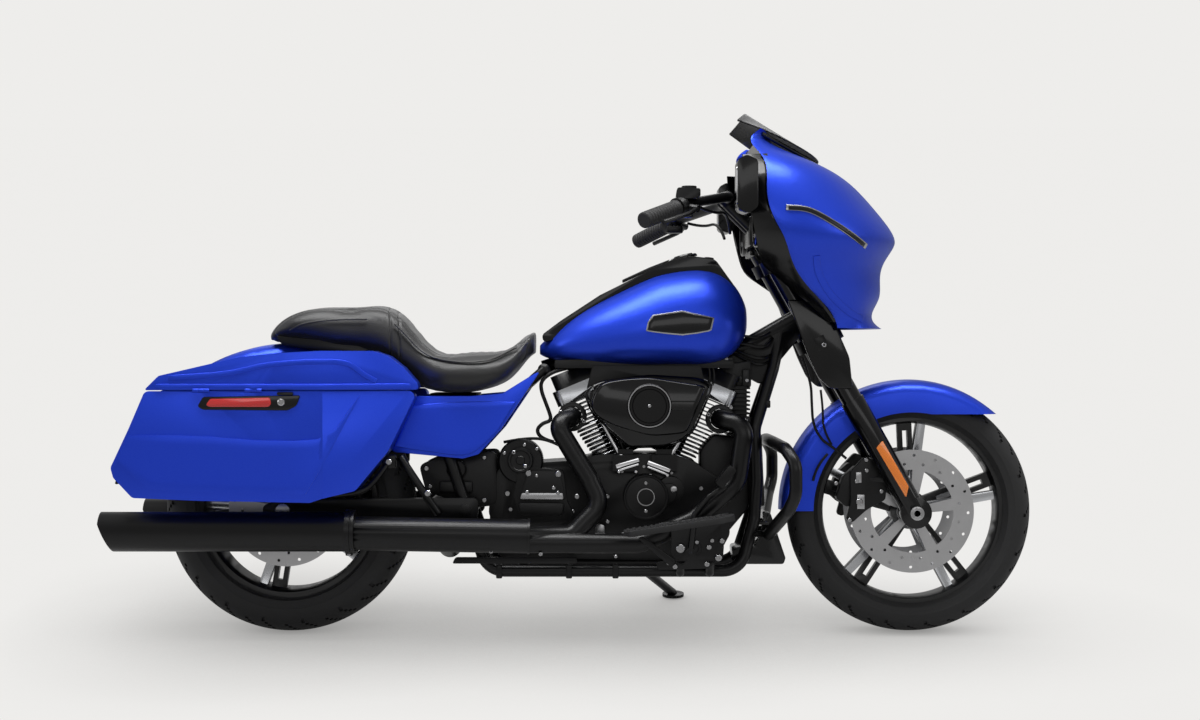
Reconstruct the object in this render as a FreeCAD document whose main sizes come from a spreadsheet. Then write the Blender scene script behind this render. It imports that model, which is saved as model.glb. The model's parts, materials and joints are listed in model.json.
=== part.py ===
import FreeCAD, Part

# A touring cruiser motorcycle, leaning on its side stand.
#
# Every sub-part is drawn on an upright machine: +X forward, +Y to the rider's left, +Z up,
# with the ground at z = 0 and x = 0 half way between the axles. One placement then leans the
# whole machine to the left until its stand foot is on the ground, and moves the origin under
# the middle of the machine. All lengths are millimetres, all angles degrees.

import math
import os

import Sketcher
from FreeCAD import Matrix, Placement, Rotation, Vector

SIZES = {
    # stance
    "wheelbase": 1625,
    "lean_angle": 9,
    "seat_gap": 0.3,
    # wheels and tyres
    "front_wheel_radius": 320,
    "front_tyre_width": 130,
    "front_rim_radius": 241,
    "front_rim_width": 96,
    "rear_wheel_radius": 328,
    "rear_tyre_width": 180,
    "rear_rim_radius": 229,
    "rear_rim_width": 140,
    "rim_lip_height": 14,
    "rim_wall": 9,
    "hub_radius": 50,
    "spoke_count": 5,
    "spoke_width": 27,
    "spoke_depth": 40,
    "web_width": 38,
    "web_slot": 13,
    "web_depth": 24,
    "web_angle": 11,
    "front_spoke_angle": 9.6,
    "rear_spoke_angle": 250,
    # brakes and drive
    "front_disc_radius": 160,
    "front_disc_inner": 108,
    "front_disc_offset": 83,
    "rear_disc_radius": 150,
    "rear_disc_inner": 100,
    "rear_disc_offset": 98,
    "disc_thickness": 5,
    "disc_hole_radius": 4,
    "disc_hole_count": 16,
    "pulley_radius": 112,
    "pulley_inner": 60,
    "pulley_width": 30,
    # steering and fork
    "steering_rake": 26,
    "steering_trail": 170,
    "fork_angle": 29.25,
    "fork_half_spacing": 128,
    "slider_radius": 31,
    "slider_top": 610,
    "axle_lug_radius": 40,
    "stanchion_radius": 27,
    "fork_top": 1014,
    "lower_clamp_height": 775,
    "upper_clamp_height": 986,
    "clamp_thickness": 34,
    "clamp_wall": 11,
    "stem_radius": 16,
    "head_tube_radius": 33,
    "axle_radius": 12.5,
    "axle_bore_radius": 8,
    "axle_end_radius": 18,
    "axle_end_length": 12,
    # front fender
    "front_fender_radius": 342,
    "front_fender_half_width": 84,
    "front_fender_edge": 572,
    "fender_wall": 3.5,
    # fairing, screen and controls
    "fairing_wall": 4,
    "headlamp_radius": 88,
    "headlamp_height": 955,
    "headlamp_front": 742,
    "headlamp_depth": 70,
    "screen_wall": 4,
    "bar_radius": 13,
    "grip_radius": 19,
    # tank and seat
    "tank_half_width": 168,
    "console_half_width": 62,
    "tank_wall": 3.5,
    # rear end
    "rear_fender_radius": 430,
    "rear_fender_half_width": 112,
    "bag_inner_face": 156,
    "bag_outer_face": 335,
    "bag_wall": 4,
    "bag_parting_height": 638,
    "lid_knuckle_radius": 5,
    "lid_pin_radius": 2.2,
    "lid_knuckle_length": 14,
    "lid_hinge_back": -1010,
    "lid_hinge_front": -880,
    # engine
    "cylinder_tilt": 22.5,
    "crank_x": 118,
    "crank_height": 361,
    "fin_count": 16,
    "fin_pitch": 11,
    "fin_thickness": 3.5,
    "barrel_radius": 48,
    "fin_start": 128,
    "head_height": 34,
    "rocker_height": 40,
    "tank_floor": 700,
    "cam_cover_radius": 58,
    # frame and fittings
    "rail_height": 169,
    "rail_radius": 16,
    "rail_half_spacing": 118,
    "backbone_radius": 20,
    "gusset_half_width": 17,
    "swingarm_pivot_x": -345,
    "swingarm_pivot_height": 330,
    "arm_half_spacing": 148,
    "arm_height": 58,
    "arm_thickness": 24,
    "guard_radius": 16,
    "guard_half_width": 352,
    "collector_radius": 43,
    "muffler_radius": 50,
    "muffler_offset": 255,
    "muffler_height": 281,
    "header_radius": 25,
    "board_length": 285,
    "board_width": 105,
    "board_thickness": 14,
    "board_inner_face": 235,
    "board_height": 299,
    "board_front": 338,
    "board_tilt": 8.5,
    "board_knuckle_radius": 9,
    "board_pin_radius": 5,
    "stand_radius": 12,
    "stand_foot_y": 330,
    "stand_foot_x": 205,
    "stand_foot_radius": 30,
    "stand_foot_thickness": 8,
    "stand_pivot_x": 110,
    "stand_pivot_y": 165,
    "stand_pivot_height": 150,
}

doc = FreeCAD.newDocument("touring_motorcycle")
sheet = doc.addObject("Spreadsheet::Sheet", "sizes")
for row, (alias, value) in enumerate(SIZES.items(), start=1):
    sheet.set(f"A{row}", alias)
    sheet.set(f"B{row}", str(value))
    sheet.setAlias(f"B{row}", alias)
doc.recompute()

ORIGIN = Vector(0, 0, 0)
AXIS_X = Vector(1, 0, 0)
AXIS_Y = Vector(0, 1, 0)
AXIS_Z = Vector(0, 0, 1)
RIGHT, LEFT = -1, 1
pieces = []


def size(name):
    """Return the driving dimension of that name from the spreadsheet."""
    return float(sheet.get(name))


FRONT_AXLE = Vector(size("wheelbase") / 2, 0, size("front_wheel_radius"))
REAR_AXLE = Vector(-size("wheelbase") / 2, 0, size("rear_wheel_radius"))
LEAN = Placement(ORIGIN, Rotation(AXIS_X, -size("lean_angle")))


def fork_point(height, y=0):
    """Return the point of a fork leg's centre line at that height."""
    run = (height - FRONT_AXLE.z) * math.tan(math.radians(size("fork_angle")))
    return Vector(FRONT_AXLE.x - run, y, height)


def steering_point(height):
    """Return the point of the steering axis at that height."""
    ground_x = FRONT_AXLE.x + size("steering_trail")
    return Vector(ground_x - height * math.tan(math.radians(size("steering_rake"))), 0, height)


FORK_DIRECTION = (fork_point(1000) - fork_point(0)).normalize()
STEERING_DIRECTION = (steering_point(1000) - steering_point(0)).normalize()


# Helpers for outlines and solids set by code


def fused(shapes):
    """Return one solid from touching shapes."""
    return shapes[0].multiFuse(shapes[1:]).removeSplitter()


def mirrored(shape):
    """Return the shape's twin on the other side of the machine."""
    return shape.mirror(ORIGIN, AXIS_Y)


def on_side(side, shape):
    """Return a shape drawn on the left, moved to that side."""
    return shape if side == LEFT else mirrored(shape)


def both_sides(shape):
    """Return a shape of the left side together with its twin on the right."""
    return Part.makeCompound([mirrored(shape), shape])


def rod(start, end, radius):
    """Return a round bar between two points."""
    along = end - start
    return Part.makeCylinder(radius, along.Length, start, along)


def ring_bar(start, end, radius, bore):
    """Return a round bar with a bore through it."""
    return rod(start, end, radius).cut(rod(start, end, bore))


def pipe(points, radius, bend):
    """Return a round tube of straight runs joined by tangent arcs."""
    edges = []
    last = points[0]
    for before, corner, after in zip(points, points[1:], points[2:]):
        back = (before - corner).normalize()
        ahead = (after - corner).normalize()
        half = back.getAngle(ahead) / 2
        shortest = min((before - corner).Length, (after - corner).Length)
        cut = min(bend / math.tan(half), 0.48 * shortest)
        reach = cut * math.tan(half)
        middle = corner + (back + ahead).normalize() * (reach / math.sin(half) - reach)
        edges.append(Part.LineSegment(last, corner + back * cut).toShape())
        edges.append(Part.Arc(corner + back * cut, middle, corner + ahead * cut).toShape())
        last = corner + ahead * cut
    edges.append(Part.LineSegment(last, points[-1]).toShape())
    ring = Part.Wire([Part.makeCircle(radius, points[0], points[1] - points[0])])
    return Part.Wire(edges).makePipeShell([ring], True, False)


def rounded_wire(points, radius):
    """Return a closed outline with every corner rounded, as far as its sides allow."""
    count = len(points)
    bends = []
    for index, corner in enumerate(points):
        back = points[index - 1] - corner
        ahead = points[(index + 1) % count] - corner
        shortest = min(back.Length, ahead.Length)
        back = back.normalize()
        ahead = ahead.normalize()
        half = back.getAngle(ahead) / 2
        cut = min(radius / math.tan(half), 0.45 * shortest)
        reach = cut * math.tan(half)
        middle = corner + (back + ahead).normalize() * (reach / math.sin(half) - reach)
        bends.append((corner + back * cut, middle, corner + ahead * cut))
    edges = []
    for index, (start, middle, end) in enumerate(bends):
        edges.append(Part.Arc(start, middle, end).toShape())
        edges.append(Part.LineSegment(end, bends[(index + 1) % count][0]).toShape())
    return Part.Wire(edges)


def side_wire(outline, y, radius=8):
    """Return the rounded wire of a side-view outline of (x, height) pairs."""
    return rounded_wire([Vector(x, y, height) for x, height in outline], radius)


def side_plate(outline, near, far, radius=8):
    """Return a plate with a side-view outline, between two y places."""
    return Part.Face(side_wire(outline, near, radius)).extrude(Vector(0, far - near, 0))


def side_shell(outline, near, far, wall, radius=8):
    """Return a dished cover whose closed face is at far and whose open side is at near."""
    depth = far - near - math.copysign(wall, far - near)
    inner = Part.Face(side_wire(outline, near, radius)).makeOffset2D(-wall)
    return side_plate(outline, near, far, radius).cut(inner.extrude(Vector(0, depth, 0)))


def smooth_ring(points):
    """Return a closed smooth section through points."""
    curve = Part.BSplineCurve()
    curve.interpolate(points, PeriodicFlag=True)
    return Part.Wire([curve.toShape()])


def skin(sections):
    """Return a closed solid lofted smoothly through closed sections."""
    return Part.makeLoft(sections, True, False)


def spun(profile, centre, start=0, sweep=360):
    """Return a solid turned about a wheel's axle from (y, radius) pairs.

    Angles run from straight ahead, over the top, to the back.
    """
    points = [centre + Vector(radius, y, 0) for y, radius in profile]
    face = Part.Face(Part.makePolygon(points + points[:1]))
    face.rotate(centre, AXIS_Y, -start)
    return face.revolve(centre, AXIS_Y, -sweep)


def piece(name, shape):
    """Add a sub-part whose form is set by code, and lean it with the machine."""
    solid = doc.addObject("Part::Feature", name)
    solid.Label = name
    solid.Shape = shape
    solid.Placement = LEAN.multiply(shape.Placement)
    pieces.append(solid)


def finish(built, name, local):
    """Label a document object as a sub-part and lean it with the machine."""
    built.Label = name
    built.Placement = LEAN.multiply(local)
    pieces.append(built)


# Helpers for bodies whose sketches are bound to the spreadsheet


def origin_item(body, role):
    """Return one of the body's own origin planes or axes."""
    return next(item for item in body.Origin.OriginFeatures if item.Role == role)


def new_sketch(body, name, role):
    """Return an empty sketch on one of the body's own planes."""
    sketch = body.newObject("Sketcher::SketchObject", name)
    sketch.AttachmentSupport = [(origin_item(body, role), "")]
    sketch.MapMode = "FlatFace"
    return sketch


def bind_point(sketch, geometry, end, across, up):
    """Tie a point of the sketch to two formulas of the spreadsheet."""
    for kind, formula in (("DistanceX", across), ("DistanceY", up)):
        number = sketch.addConstraint(Sketcher.Constraint(kind, -1, 1, geometry, end, 1.0))
        sketch.setExpression(f"Constraints[{number}]", formula)


def draw_polygon(sketch, corners):
    """Draw a closed polygon whose corners are pairs of spreadsheet formulas."""
    first = sketch.GeometryCount
    count = len(corners)
    turn = 2 * math.pi / count
    guesses = [Vector(math.cos(turn * index), math.sin(turn * index), 0) for index in range(count)]
    for index in range(count):
        line = Part.LineSegment(guesses[index], guesses[(index + 1) % count])
        sketch.addGeometry(line, False)
    for index in range(count):
        following = first + (index + 1) % count
        sketch.addConstraint(Sketcher.Constraint("Coincident", first + index, 2, following, 1))
    for index, (across, up) in enumerate(corners):
        bind_point(sketch, first + index, 1, across, up)


def draw_circle(sketch, across, up, radius):
    """Draw a circle whose centre and radius are spreadsheet formulas."""
    number = sketch.addGeometry(Part.Circle(Vector(1, 1, 0), AXIS_Z, 1.0), False)
    bind_point(sketch, number, 3, across, up)
    limit = sketch.addConstraint(Sketcher.Constraint("Radius", number, 1.0))
    sketch.setExpression(f"Constraints[{limit}]", radius)


def turned(body, name, corners):
    """Revolve a polygon of (y, radius) formulas about the body's Y axis."""
    sketch = new_sketch(body, name + "_section", "YZ_Plane")
    draw_polygon(sketch, corners)
    turn = body.newObject("PartDesign::Revolution", name)
    turn.Profile = sketch
    turn.ReferenceAxis = (sketch, ["H_Axis"])
    turn.Angle = 360
    return turn


def padded(body, name, sketch, length):
    """Pad a side-view sketch evenly to both sides of its plane."""
    pad = body.newObject("PartDesign::Pad", name)
    pad.Profile = sketch
    pad.Midplane = True
    pad.setExpression("Length", length)
    return pad


def around_axle(body, name, feature, count):
    """Repeat a feature evenly about the body's Y axis."""
    pattern = body.newObject("PartDesign::PolarPattern", name)
    pattern.Originals = [feature]
    pattern.Axis = (origin_item(body, "Y_Axis"), [""])
    pattern.Angle = 360
    pattern.setExpression("Occurrences", count)
    body.Tip = pattern
    return pattern


# Wheels


def tyre(end, axle):
    """A road tyre: a rounded tread, bulged walls and a bead that grips the rim."""
    body = doc.addObject("PartDesign::Body", f"{end}_tyre")
    half = f"sizes.{end}_tyre_width / 2"
    outer = f"sizes.{end}_wheel_radius"
    bead = f"sizes.{end}_rim_radius + sizes.seat_gap"
    foot = f"(sizes.{end}_rim_width / 2 - sizes.rim_wall - sizes.seat_gap)"
    lip = f"(sizes.{end}_rim_radius + sizes.rim_lip_height + sizes.seat_gap)"
    wall = f"({outer} - {bead})"
    right_half = [
        (foot, bead),
        (foot, lip),
        (f"{half} * 0.86", f"{lip} + {wall} * 0.06"),
        (f"{half}", f"{bead} + {wall} * 0.45"),
        (f"{half} * 0.98", f"{bead} + {wall} * 0.64"),
        (f"{half} * 0.85", f"{bead} + {wall} * 0.8"),
        (f"{half} * 0.6", f"{bead} + {wall} * 0.915"),
        (f"{half} * 0.3", f"{bead} + {wall} * 0.98"),
    ]
    left_half = [(f"-({across})", up) for across, up in reversed(right_half)]
    turned(body, f"{end}_tread", right_half + [("0", outer)] + left_half)
    finish(body, f"{end}_tyre", Placement(axle, Rotation()))


def rim(end, axle):
    """A cast wheel: hub, five machined spokes with slotted webs beside them, and a barrel."""
    body = doc.addObject("PartDesign::Body", f"{end}_rim")
    hub = f"(sizes.{end}_disc_offset - sizes.disc_thickness / 2)"
    bore = "sizes.axle_radius + sizes.seat_gap"
    turned(body, f"{end}_hub", [
        (f"-({hub})", bore), (hub, bore), (hub, "sizes.hub_radius * 0.7"),
        (f"{hub} * 0.5", "sizes.hub_radius"), (f"-({hub}) * 0.5", "sizes.hub_radius"),
        (f"-({hub})", "sizes.hub_radius * 0.7"),
    ])
    doc.recompute()
    reach = f"sizes.{end}_rim_radius - sizes.rim_lip_height * 0.6"
    half = "sizes.spoke_width / 2"
    sketch = new_sketch(body, f"{end}_spoke_outline", "XZ_Plane")
    draw_polygon(sketch, [
        ("sizes.hub_radius * 0.8", f"-({half})"), (reach, f"-({half}) * 0.8"),
        (reach, f"{half} * 0.8"), ("sizes.hub_radius * 0.8", half),
    ])
    spoke = padded(body, f"{end}_spoke", sketch, "sizes.spoke_depth")
    around_axle(body, f"{end}_spokes", spoke, "sizes.spoke_count")
    doc.recompute()
    wide = "sizes.web_width / 2"
    slot = "sizes.web_slot / 2"
    tilt = "sizes.web_angle * 1 deg"
    sketch = new_sketch(body, f"{end}_web_outline", "XZ_Plane")
    near, far = "sizes.hub_radius * 0.8", reach

    def tilted(along, up):
        """Return a point of the web, turned from the spoke by the web's angle."""
        return (f"({along}) * cos({tilt}) - ({up}) * sin({tilt})",
                f"({along}) * sin({tilt}) + ({up}) * cos({tilt})")

    draw_polygon(sketch, [tilted(near, f"-({wide})"), tilted(far, f"-({wide})"),
                          tilted(far, wide), tilted(near, wide)])
    draw_polygon(sketch, [tilted(f"{near} + 40", f"-({slot})"), tilted(f"{far} - 25", f"-({slot})"),
                          tilted(f"{far} - 25", slot), tilted(f"{near} + 40", slot)])
    web = padded(body, f"{end}_web", sketch, "sizes.web_depth")
    around_axle(body, f"{end}_webs", web, "sizes.spoke_count")
    doc.recompute()
    edge = f"sizes.{end}_rim_width / 2"
    outer = f"sizes.{end}_rim_radius"
    lip = f"sizes.{end}_rim_radius + sizes.rim_lip_height"
    inner = f"sizes.{end}_rim_radius - sizes.rim_lip_height"
    turned(body, f"{end}_barrel", [
        (f"{edge} - sizes.rim_wall", outer), (f"{edge} - sizes.rim_wall", lip), (edge, lip),
        (edge, f"{inner} + 6"), (f"{edge} - sizes.rim_wall * 2.5", inner),
        (f"-({edge} - sizes.rim_wall * 2.5)", inner), (f"-({edge})", f"{inner} + 6"),
        (f"-({edge})", lip), (f"-({edge} - sizes.rim_wall)", lip),
        (f"-({edge} - sizes.rim_wall)", outer),
    ])
    doc.recompute()
    angle = size(f"{end}_spoke_angle")
    finish(body, f"{end}_rim", Placement(axle, Rotation(AXIS_Y, -angle)))


def brake_disc(end, side):
    """A drilled brake disc with its carrier arms, bolted to the hub."""
    name = f"{end}_disc" if end == "rear" else f"{end}_disc_{'left' if side == LEFT else 'right'}"
    body = doc.addObject("PartDesign::Body", name)
    sketch = new_sketch(body, f"{name}_outline", "XZ_Plane")
    draw_circle(sketch, "0", "0", f"sizes.{end}_disc_radius")
    draw_circle(sketch, "0", "0", f"sizes.{end}_disc_inner")
    padded(body, f"{name}_ring", sketch, "sizes.disc_thickness")
    doc.recompute()
    for row, (share, twist) in enumerate(((0.3, 0), (0.72, 0.5))):
        sketch = new_sketch(body, f"{name}_holes_{row}", "XZ_Plane")
        centre = (f"(sizes.{end}_disc_inner + (sizes.{end}_disc_radius - sizes.{end}_disc_inner) "
                  f"* {share})")
        step = f"(360 deg / sizes.disc_hole_count * {twist})"
        draw_circle(sketch, f"{centre} * cos({step})", f"{centre} * sin({step})",
                    "sizes.disc_hole_radius")
        hole = body.newObject("PartDesign::Pocket", f"{name}_hole_{row}")
        hole.Profile = sketch
        hole.Type = 1
        hole.Midplane = True
        around_axle(body, f"{name}_hole_ring_{row}", hole, "sizes.disc_hole_count")
        doc.recompute()
    sketch = new_sketch(body, f"{name}_arm_outline", "XZ_Plane")
    draw_polygon(sketch, [
        ("sizes.hub_radius * 0.75", "-10"), (f"sizes.{end}_disc_inner + 5", "-16"),
        (f"sizes.{end}_disc_inner + 5", "16"), ("sizes.hub_radius * 0.75", "10"),
    ])
    arm = padded(body, f"{name}_arm", sketch, "sizes.disc_thickness")
    around_axle(body, f"{name}_arms", arm, "sizes.spoke_count")
    doc.recompute()
    turned(body, f"{name}_centre", [
        ("-sizes.disc_thickness / 2", "sizes.axle_radius + 12"),
        ("sizes.disc_thickness / 2", "sizes.axle_radius + 12"),
        ("sizes.disc_thickness / 2", "sizes.hub_radius * 0.8"),
        ("-sizes.disc_thickness / 2", "sizes.hub_radius * 0.8"),
    ])
    axle = FRONT_AXLE if end == "front" else REAR_AXLE
    place = axle + Vector(0, side * size(f"{end}_disc_offset"), 0)
    angle = size(f"{end}_spoke_angle")
    finish(body, name, Placement(place, Rotation(AXIS_Y, -angle)))


# Axles, fork and steering


def wheel_shaft(end, half_length, bore):
    """A wheel axle with a round shoulder at each end, hollow where bore isn't zero."""
    body = doc.addObject("PartDesign::Body", f"{end}_axle")
    shoulder = f"({half_length} - sizes.axle_end_length)"
    turned(body, f"{end}_axle_turn", [
        (f"-({half_length})", bore), (half_length, bore),
        (half_length, "sizes.axle_end_radius"), (shoulder, "sizes.axle_end_radius"),
        (shoulder, "sizes.axle_radius"), (f"-{shoulder}", "sizes.axle_radius"),
        (f"-{shoulder}", "sizes.axle_end_radius"), (f"-({half_length})", "sizes.axle_end_radius"),
    ])
    place = FRONT_AXLE if end == "front" else REAR_AXLE
    finish(body, f"{end}_axle", Placement(place, Rotation()))


def fork_legs():
    """Two telescopic legs: lower slider with its axle lug, and the covered upper tube."""
    y = size("fork_half_spacing")
    radius = size("slider_radius")
    bottom = fork_point(FRONT_AXLE.z - radius * 0.6, y)
    joint = fork_point(size("slider_top"), y)
    reach = Vector(0, radius - 5, 0)
    carrier = FRONT_AXLE + Vector(0, y, 0)
    lug = rod(carrier - reach, carrier + reach, size("axle_lug_radius"))
    upper = rod(joint, fork_point(size("fork_top"), y), size("stanchion_radius"))
    hole = rod(FRONT_AXLE, FRONT_AXLE + Vector(0, 2 * y, 0), size("axle_radius") + size("seat_gap"))
    leg = fused([rod(bottom, joint, radius), lug, upper]).cut(hole)
    piece("fork_legs", both_sides(leg))


def yoke(height):
    """Return one clamp plate: a boss round the stem and an arm to a ring round each leg."""
    thick = size("clamp_thickness")
    wall = size("clamp_wall")
    centre = steering_point(height)
    boss = size("head_tube_radius") + 3
    ring = size("stanchion_radius") + wall
    half = size("fork_half_spacing")
    back = -abs((steering_point(height) - fork_point(height)).dot(
        Rotation(AXIS_Y, -size("steering_rake")).multVec(AXIS_X)))
    parts = [Part.makeCylinder(boss, thick, Vector(0, 0, -thick / 2))]
    for side in (RIGHT, LEFT):
        parts.append(Part.makeCylinder(ring, thick, Vector(back, side * half, -thick / 2)))
        corners = [Vector(boss * 0.8, 0, -thick / 2), Vector(back + ring * 0.7, side * half, -thick / 2),
                   Vector(back - ring * 0.5, side * half, -thick / 2), Vector(-boss * 0.8, 0, -thick / 2)]
        arm = Part.Face(Part.makePolygon(corners + corners[:1]))
        parts.append(arm.extrude(Vector(0, 0, thick)))
    plate = fused(parts)
    plate.Placement = Placement(centre, Rotation(AXIS_Y, -size("steering_rake")))
    return plate


def triple_clamp():
    """Two yokes joined by the steering stem, each gripping both legs."""
    low, high = size("lower_clamp_height"), size("upper_clamp_height")
    stem = rod(steering_point(low), steering_point(high), size("stem_radius"))
    lamp_back = size("headlamp_front") - size("headlamp_depth") - size("seat_gap")
    stay = rod(Vector(520, 0, 1000), Vector(lamp_back, 0, 1000), 12)
    clamp = fused([stem, yoke(low), yoke(high), stay])
    y = size("fork_half_spacing")
    grip = size("stanchion_radius") + size("seat_gap")
    for side in (RIGHT, LEFT):
        clamp = clamp.cut(rod(fork_point(500, side * y), fork_point(1200, side * y), grip))
    piece("triple_clamp", clamp)


def front_fender():
    """A deep crown over the tyre, with side skirts and brackets to the fork legs."""
    outer = size("front_fender_radius")
    half = size("front_fender_half_width")
    wall = size("fender_wall")
    skirt = outer - 85
    side = [(half, skirt), (half, outer - 34), (half - 9, outer - 18), (half - 30, outer - 5)]
    outside = [(-y, radius) for y, radius in side] + [(0, outer)] + list(reversed(side))
    inside = [(y * (half - wall) / half, max(radius - wall, skirt)) for y, radius in outside]
    shell = spun(outside + list(reversed(inside)), FRONT_AXLE, 44, 136)
    level = size("front_fender_edge")
    below = side_plate([(788, 400), (1300, 400), (1300, level), (840, level), (812, level - 16)],
                       -200, 200, 12)
    shell = shell.cut(below)
    leg_face = size("fork_half_spacing") - size("slider_radius") - size("seat_gap")
    bracket = Part.makeBox(44, leg_face - half + 2, 40, fork_point(585) + Vector(-22, half - 2, -20))
    piece("front_fender", fused([shell, bracket, mirrored(bracket)]))


FAIRING_LEVELS = [
    # height, nose, rear edge, half width
    (795, 742, 606, 185), (865, 731, 556, 250), (925, 741, 497, 310), (977, 757, 468, 360),
    (1017, 776, 451, 392), (1082, 742, 418, 402), (1150, 682, 410, 385), (1205, 607, 408, 350),
    (1300, 455, 412, 265),
]


def fairing_section(height, nose, rear, half, inset=0):
    """Return one level of the fairing: a rounded prow with an open-looking flat back."""
    long = nose - rear
    side = [(rear - inset, half - inset), (rear + 0.32 * long, 0.93 * half - inset),
            (rear + 0.62 * long, 0.76 * half - inset), (rear + 0.86 * long - inset, 0.46 * half)]
    points = [Vector(x, y, height) for x, y in side] + [Vector(nose - inset, 0, height)]
    points += [Vector(x, -y, height) for x, y in reversed(side)]
    prow = Part.BSplineCurve()
    prow.interpolate(points)
    return Part.Wire([prow.toShape(), Part.LineSegment(points[-1], points[0]).toShape()])


def fairing():
    """A fork-mounted shell around the headlamp, open behind and below."""
    wall = size("fairing_wall")
    solid = skin([fairing_section(*level) for level in FAIRING_LEVELS])
    cavity = skin([fairing_section(height - wall * (index == 0) * 4, *rest, inset=wall)
                   for index, (height, *rest) in enumerate(FAIRING_LEVELS)])
    brow = side_plate([(300, 1338), (620, 1210), (900, 1210), (900, 1500), (300, 1500)], -500, 500, 2)
    lamp_centre = Vector(500, 0, size("headlamp_height"))
    lamp_hole = rod(lamp_centre, lamp_centre + Vector(400, 0, 0), size("headlamp_radius") + size("seat_gap"))
    shell = solid.cut(cavity).cut(brow).cut(lamp_hole)
    piece("fairing_outer", shell)
    back = side_plate([(424, 1060), (404, 1082), (396, 1205), (400, 1278), (412, 1272), (422, 1205),
                       (430, 1082), (440, 1060)], -500, 500, 2)
    piece("fairing_inner", cavity.common(back).cut(brow))


def headlamp():
    """A round lamp: bowl, ring and domed glass, set in the nose of the fairing."""
    radius = size("headlamp_radius")
    centre = Vector(size("headlamp_front"), 0, size("headlamp_height"))
    bowl = rod(centre - Vector(size("headlamp_depth"), 0, 0), centre, radius)
    dome = Part.makeSphere(radius * 2.2, centre - Vector(radius * 1.95, 0, 0))
    dome = dome.common(rod(centre - Vector(1, 0, 0), centre + Vector(radius, 0, 0), radius))
    piece("headlamp", fused([bowl, dome]))


def windshield():
    """A short smoked screen that wraps round the top of the fairing."""
    low = Part.Arc(Vector(412, -235, 1294), Vector(574, 0, 1229.2), Vector(412, 235, 1294)).toShape()
    high = Part.Arc(Vector(352, -160, 1326), Vector(380, 0, 1358), Vector(352, 160, 1326)).toShape()
    sheet_face = Part.makeRuledSurface(low, high)
    piece("windshield", sheet_face.makeOffsetShape(size("screen_wall"), 0.01, fill=True))


def handlebar():
    """A wide bar on two risers, held by the upper yoke."""
    side = [Vector(112, 430, 1055), Vector(224, 300, 1105), Vector(332, 140, 1134)]
    points = side + [Vector(x, -y, z) for x, y, z in reversed(side)]
    bar = pipe(points, size("bar_radius"), 70)
    forward = Rotation(AXIS_Y, -size("steering_rake")).multVec(AXIS_X)
    top = steering_point(size("upper_clamp_height")) - forward * 34
    top += STEERING_DIRECTION * (size("clamp_thickness") / 2 + size("seat_gap"))
    risers = []
    for side in (RIGHT, LEFT):
        foot = top + Vector(0, side * 45, 0)
        risers.append(rod(foot, foot + STEERING_DIRECTION * 24, 19))
        risers.append(rod(foot + STEERING_DIRECTION * 17, Vector(332, side * 45, 1124), 15))
        risers.append(rod(Vector(332, side * 26, 1134), Vector(332, side * 64, 1134), 21))
    piece("handlebar", fused([bar] + risers))


def grip(side):
    """A rubber grip over the end of the bar."""
    end, bend = Vector(112, 430, 1055), Vector(224, 300, 1105)
    along = (bend - end).normalize()
    outer = end - along * 10
    inner = end + along * 125
    shape = ring_bar(outer, inner, size("grip_radius"), size("bar_radius") + size("seat_gap"))
    piece("grip_left" if side == LEFT else "grip_right", on_side(side, shape))


def hand_control(side):
    """Switch housing, clamp, fluid tank and lever beside a grip."""
    end, bend = Vector(112, 430, 1055), Vector(224, 300, 1105)
    along = (bend - end).normalize()
    ahead = Vector(0.72, 0.58, -0.2)
    start = end + along * (125 + size("seat_gap"))
    housing = rod(start, start + along * 38, 25)
    clamp = rod(start + along * 34, start + along * 45, 20)
    tank = side_plate([(-22, 0), (34, 0), (30, 27), (-18, 27)], -22, 20, 6)
    tank.translate(start + along * 24 + Vector(4, 0, 17))
    root = start + along * 26 + ahead * 46
    arm = rod(start + along * 26, root + ahead * 4, 9)
    lever = pipe([root, start - along * 20 + ahead * 58, end + along * 8 + ahead * 52], 6, 30)
    whole = fused([housing, clamp, tank, arm, lever])
    whole = whole.cut(rod(end - along * 40, end + along * 400, size("bar_radius") + size("seat_gap")))
    piece(f"hand_control_{'left' if side == LEFT else 'right'}", on_side(side, whole))


def mirror(side):
    """A rectangular mirror on a short arm from the fairing's edge."""
    outline = [(334, 1080), (334, 1200), (356, 1212), (384, 1200), (384, 1085), (360, 1070)]
    head = side_plate(outline, 345, 445, 14)
    arm = rod(Vector(366, 352, 1120), Vector(405.2, 352, 1120), 10)
    name = "mirror_left" if side == LEFT else "mirror_right"
    piece(name, on_side(side, fused([head, arm])))


def front_calipers():
    """A four-piston caliper behind each leg, straddling its disc, on an arm from the slider."""
    disc_y = size("front_disc_offset")
    gap = size("disc_thickness") / 2 + 1.5
    outline = [(612, 355), (640, 330), (676, 370), (690, 425), (664, 440), (630, 410)]
    body = side_plate(outline, disc_y - 22, disc_y + 24, 10)
    slot = side_plate([(560, 300), (760, 300), (760, 460), (560, 460)], disc_y - gap, disc_y + gap, 1)
    body = body.cut(slot.common(rod(FRONT_AXLE, FRONT_AXLE + Vector(0, 200, 0),
                                    size("front_disc_radius") + 3)))
    y = size("fork_half_spacing")
    arm = rod(Vector(672, 104, 405), Vector(750, 119, 405), 10)
    slider = rod(fork_point(200, y), fork_point(600, y), size("slider_radius") + size("seat_gap"))
    arm = max(arm.cut(slider).Solids, key=lambda part: part.Volume)
    piece("front_calipers", both_sides(fused([body, arm])))


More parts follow.
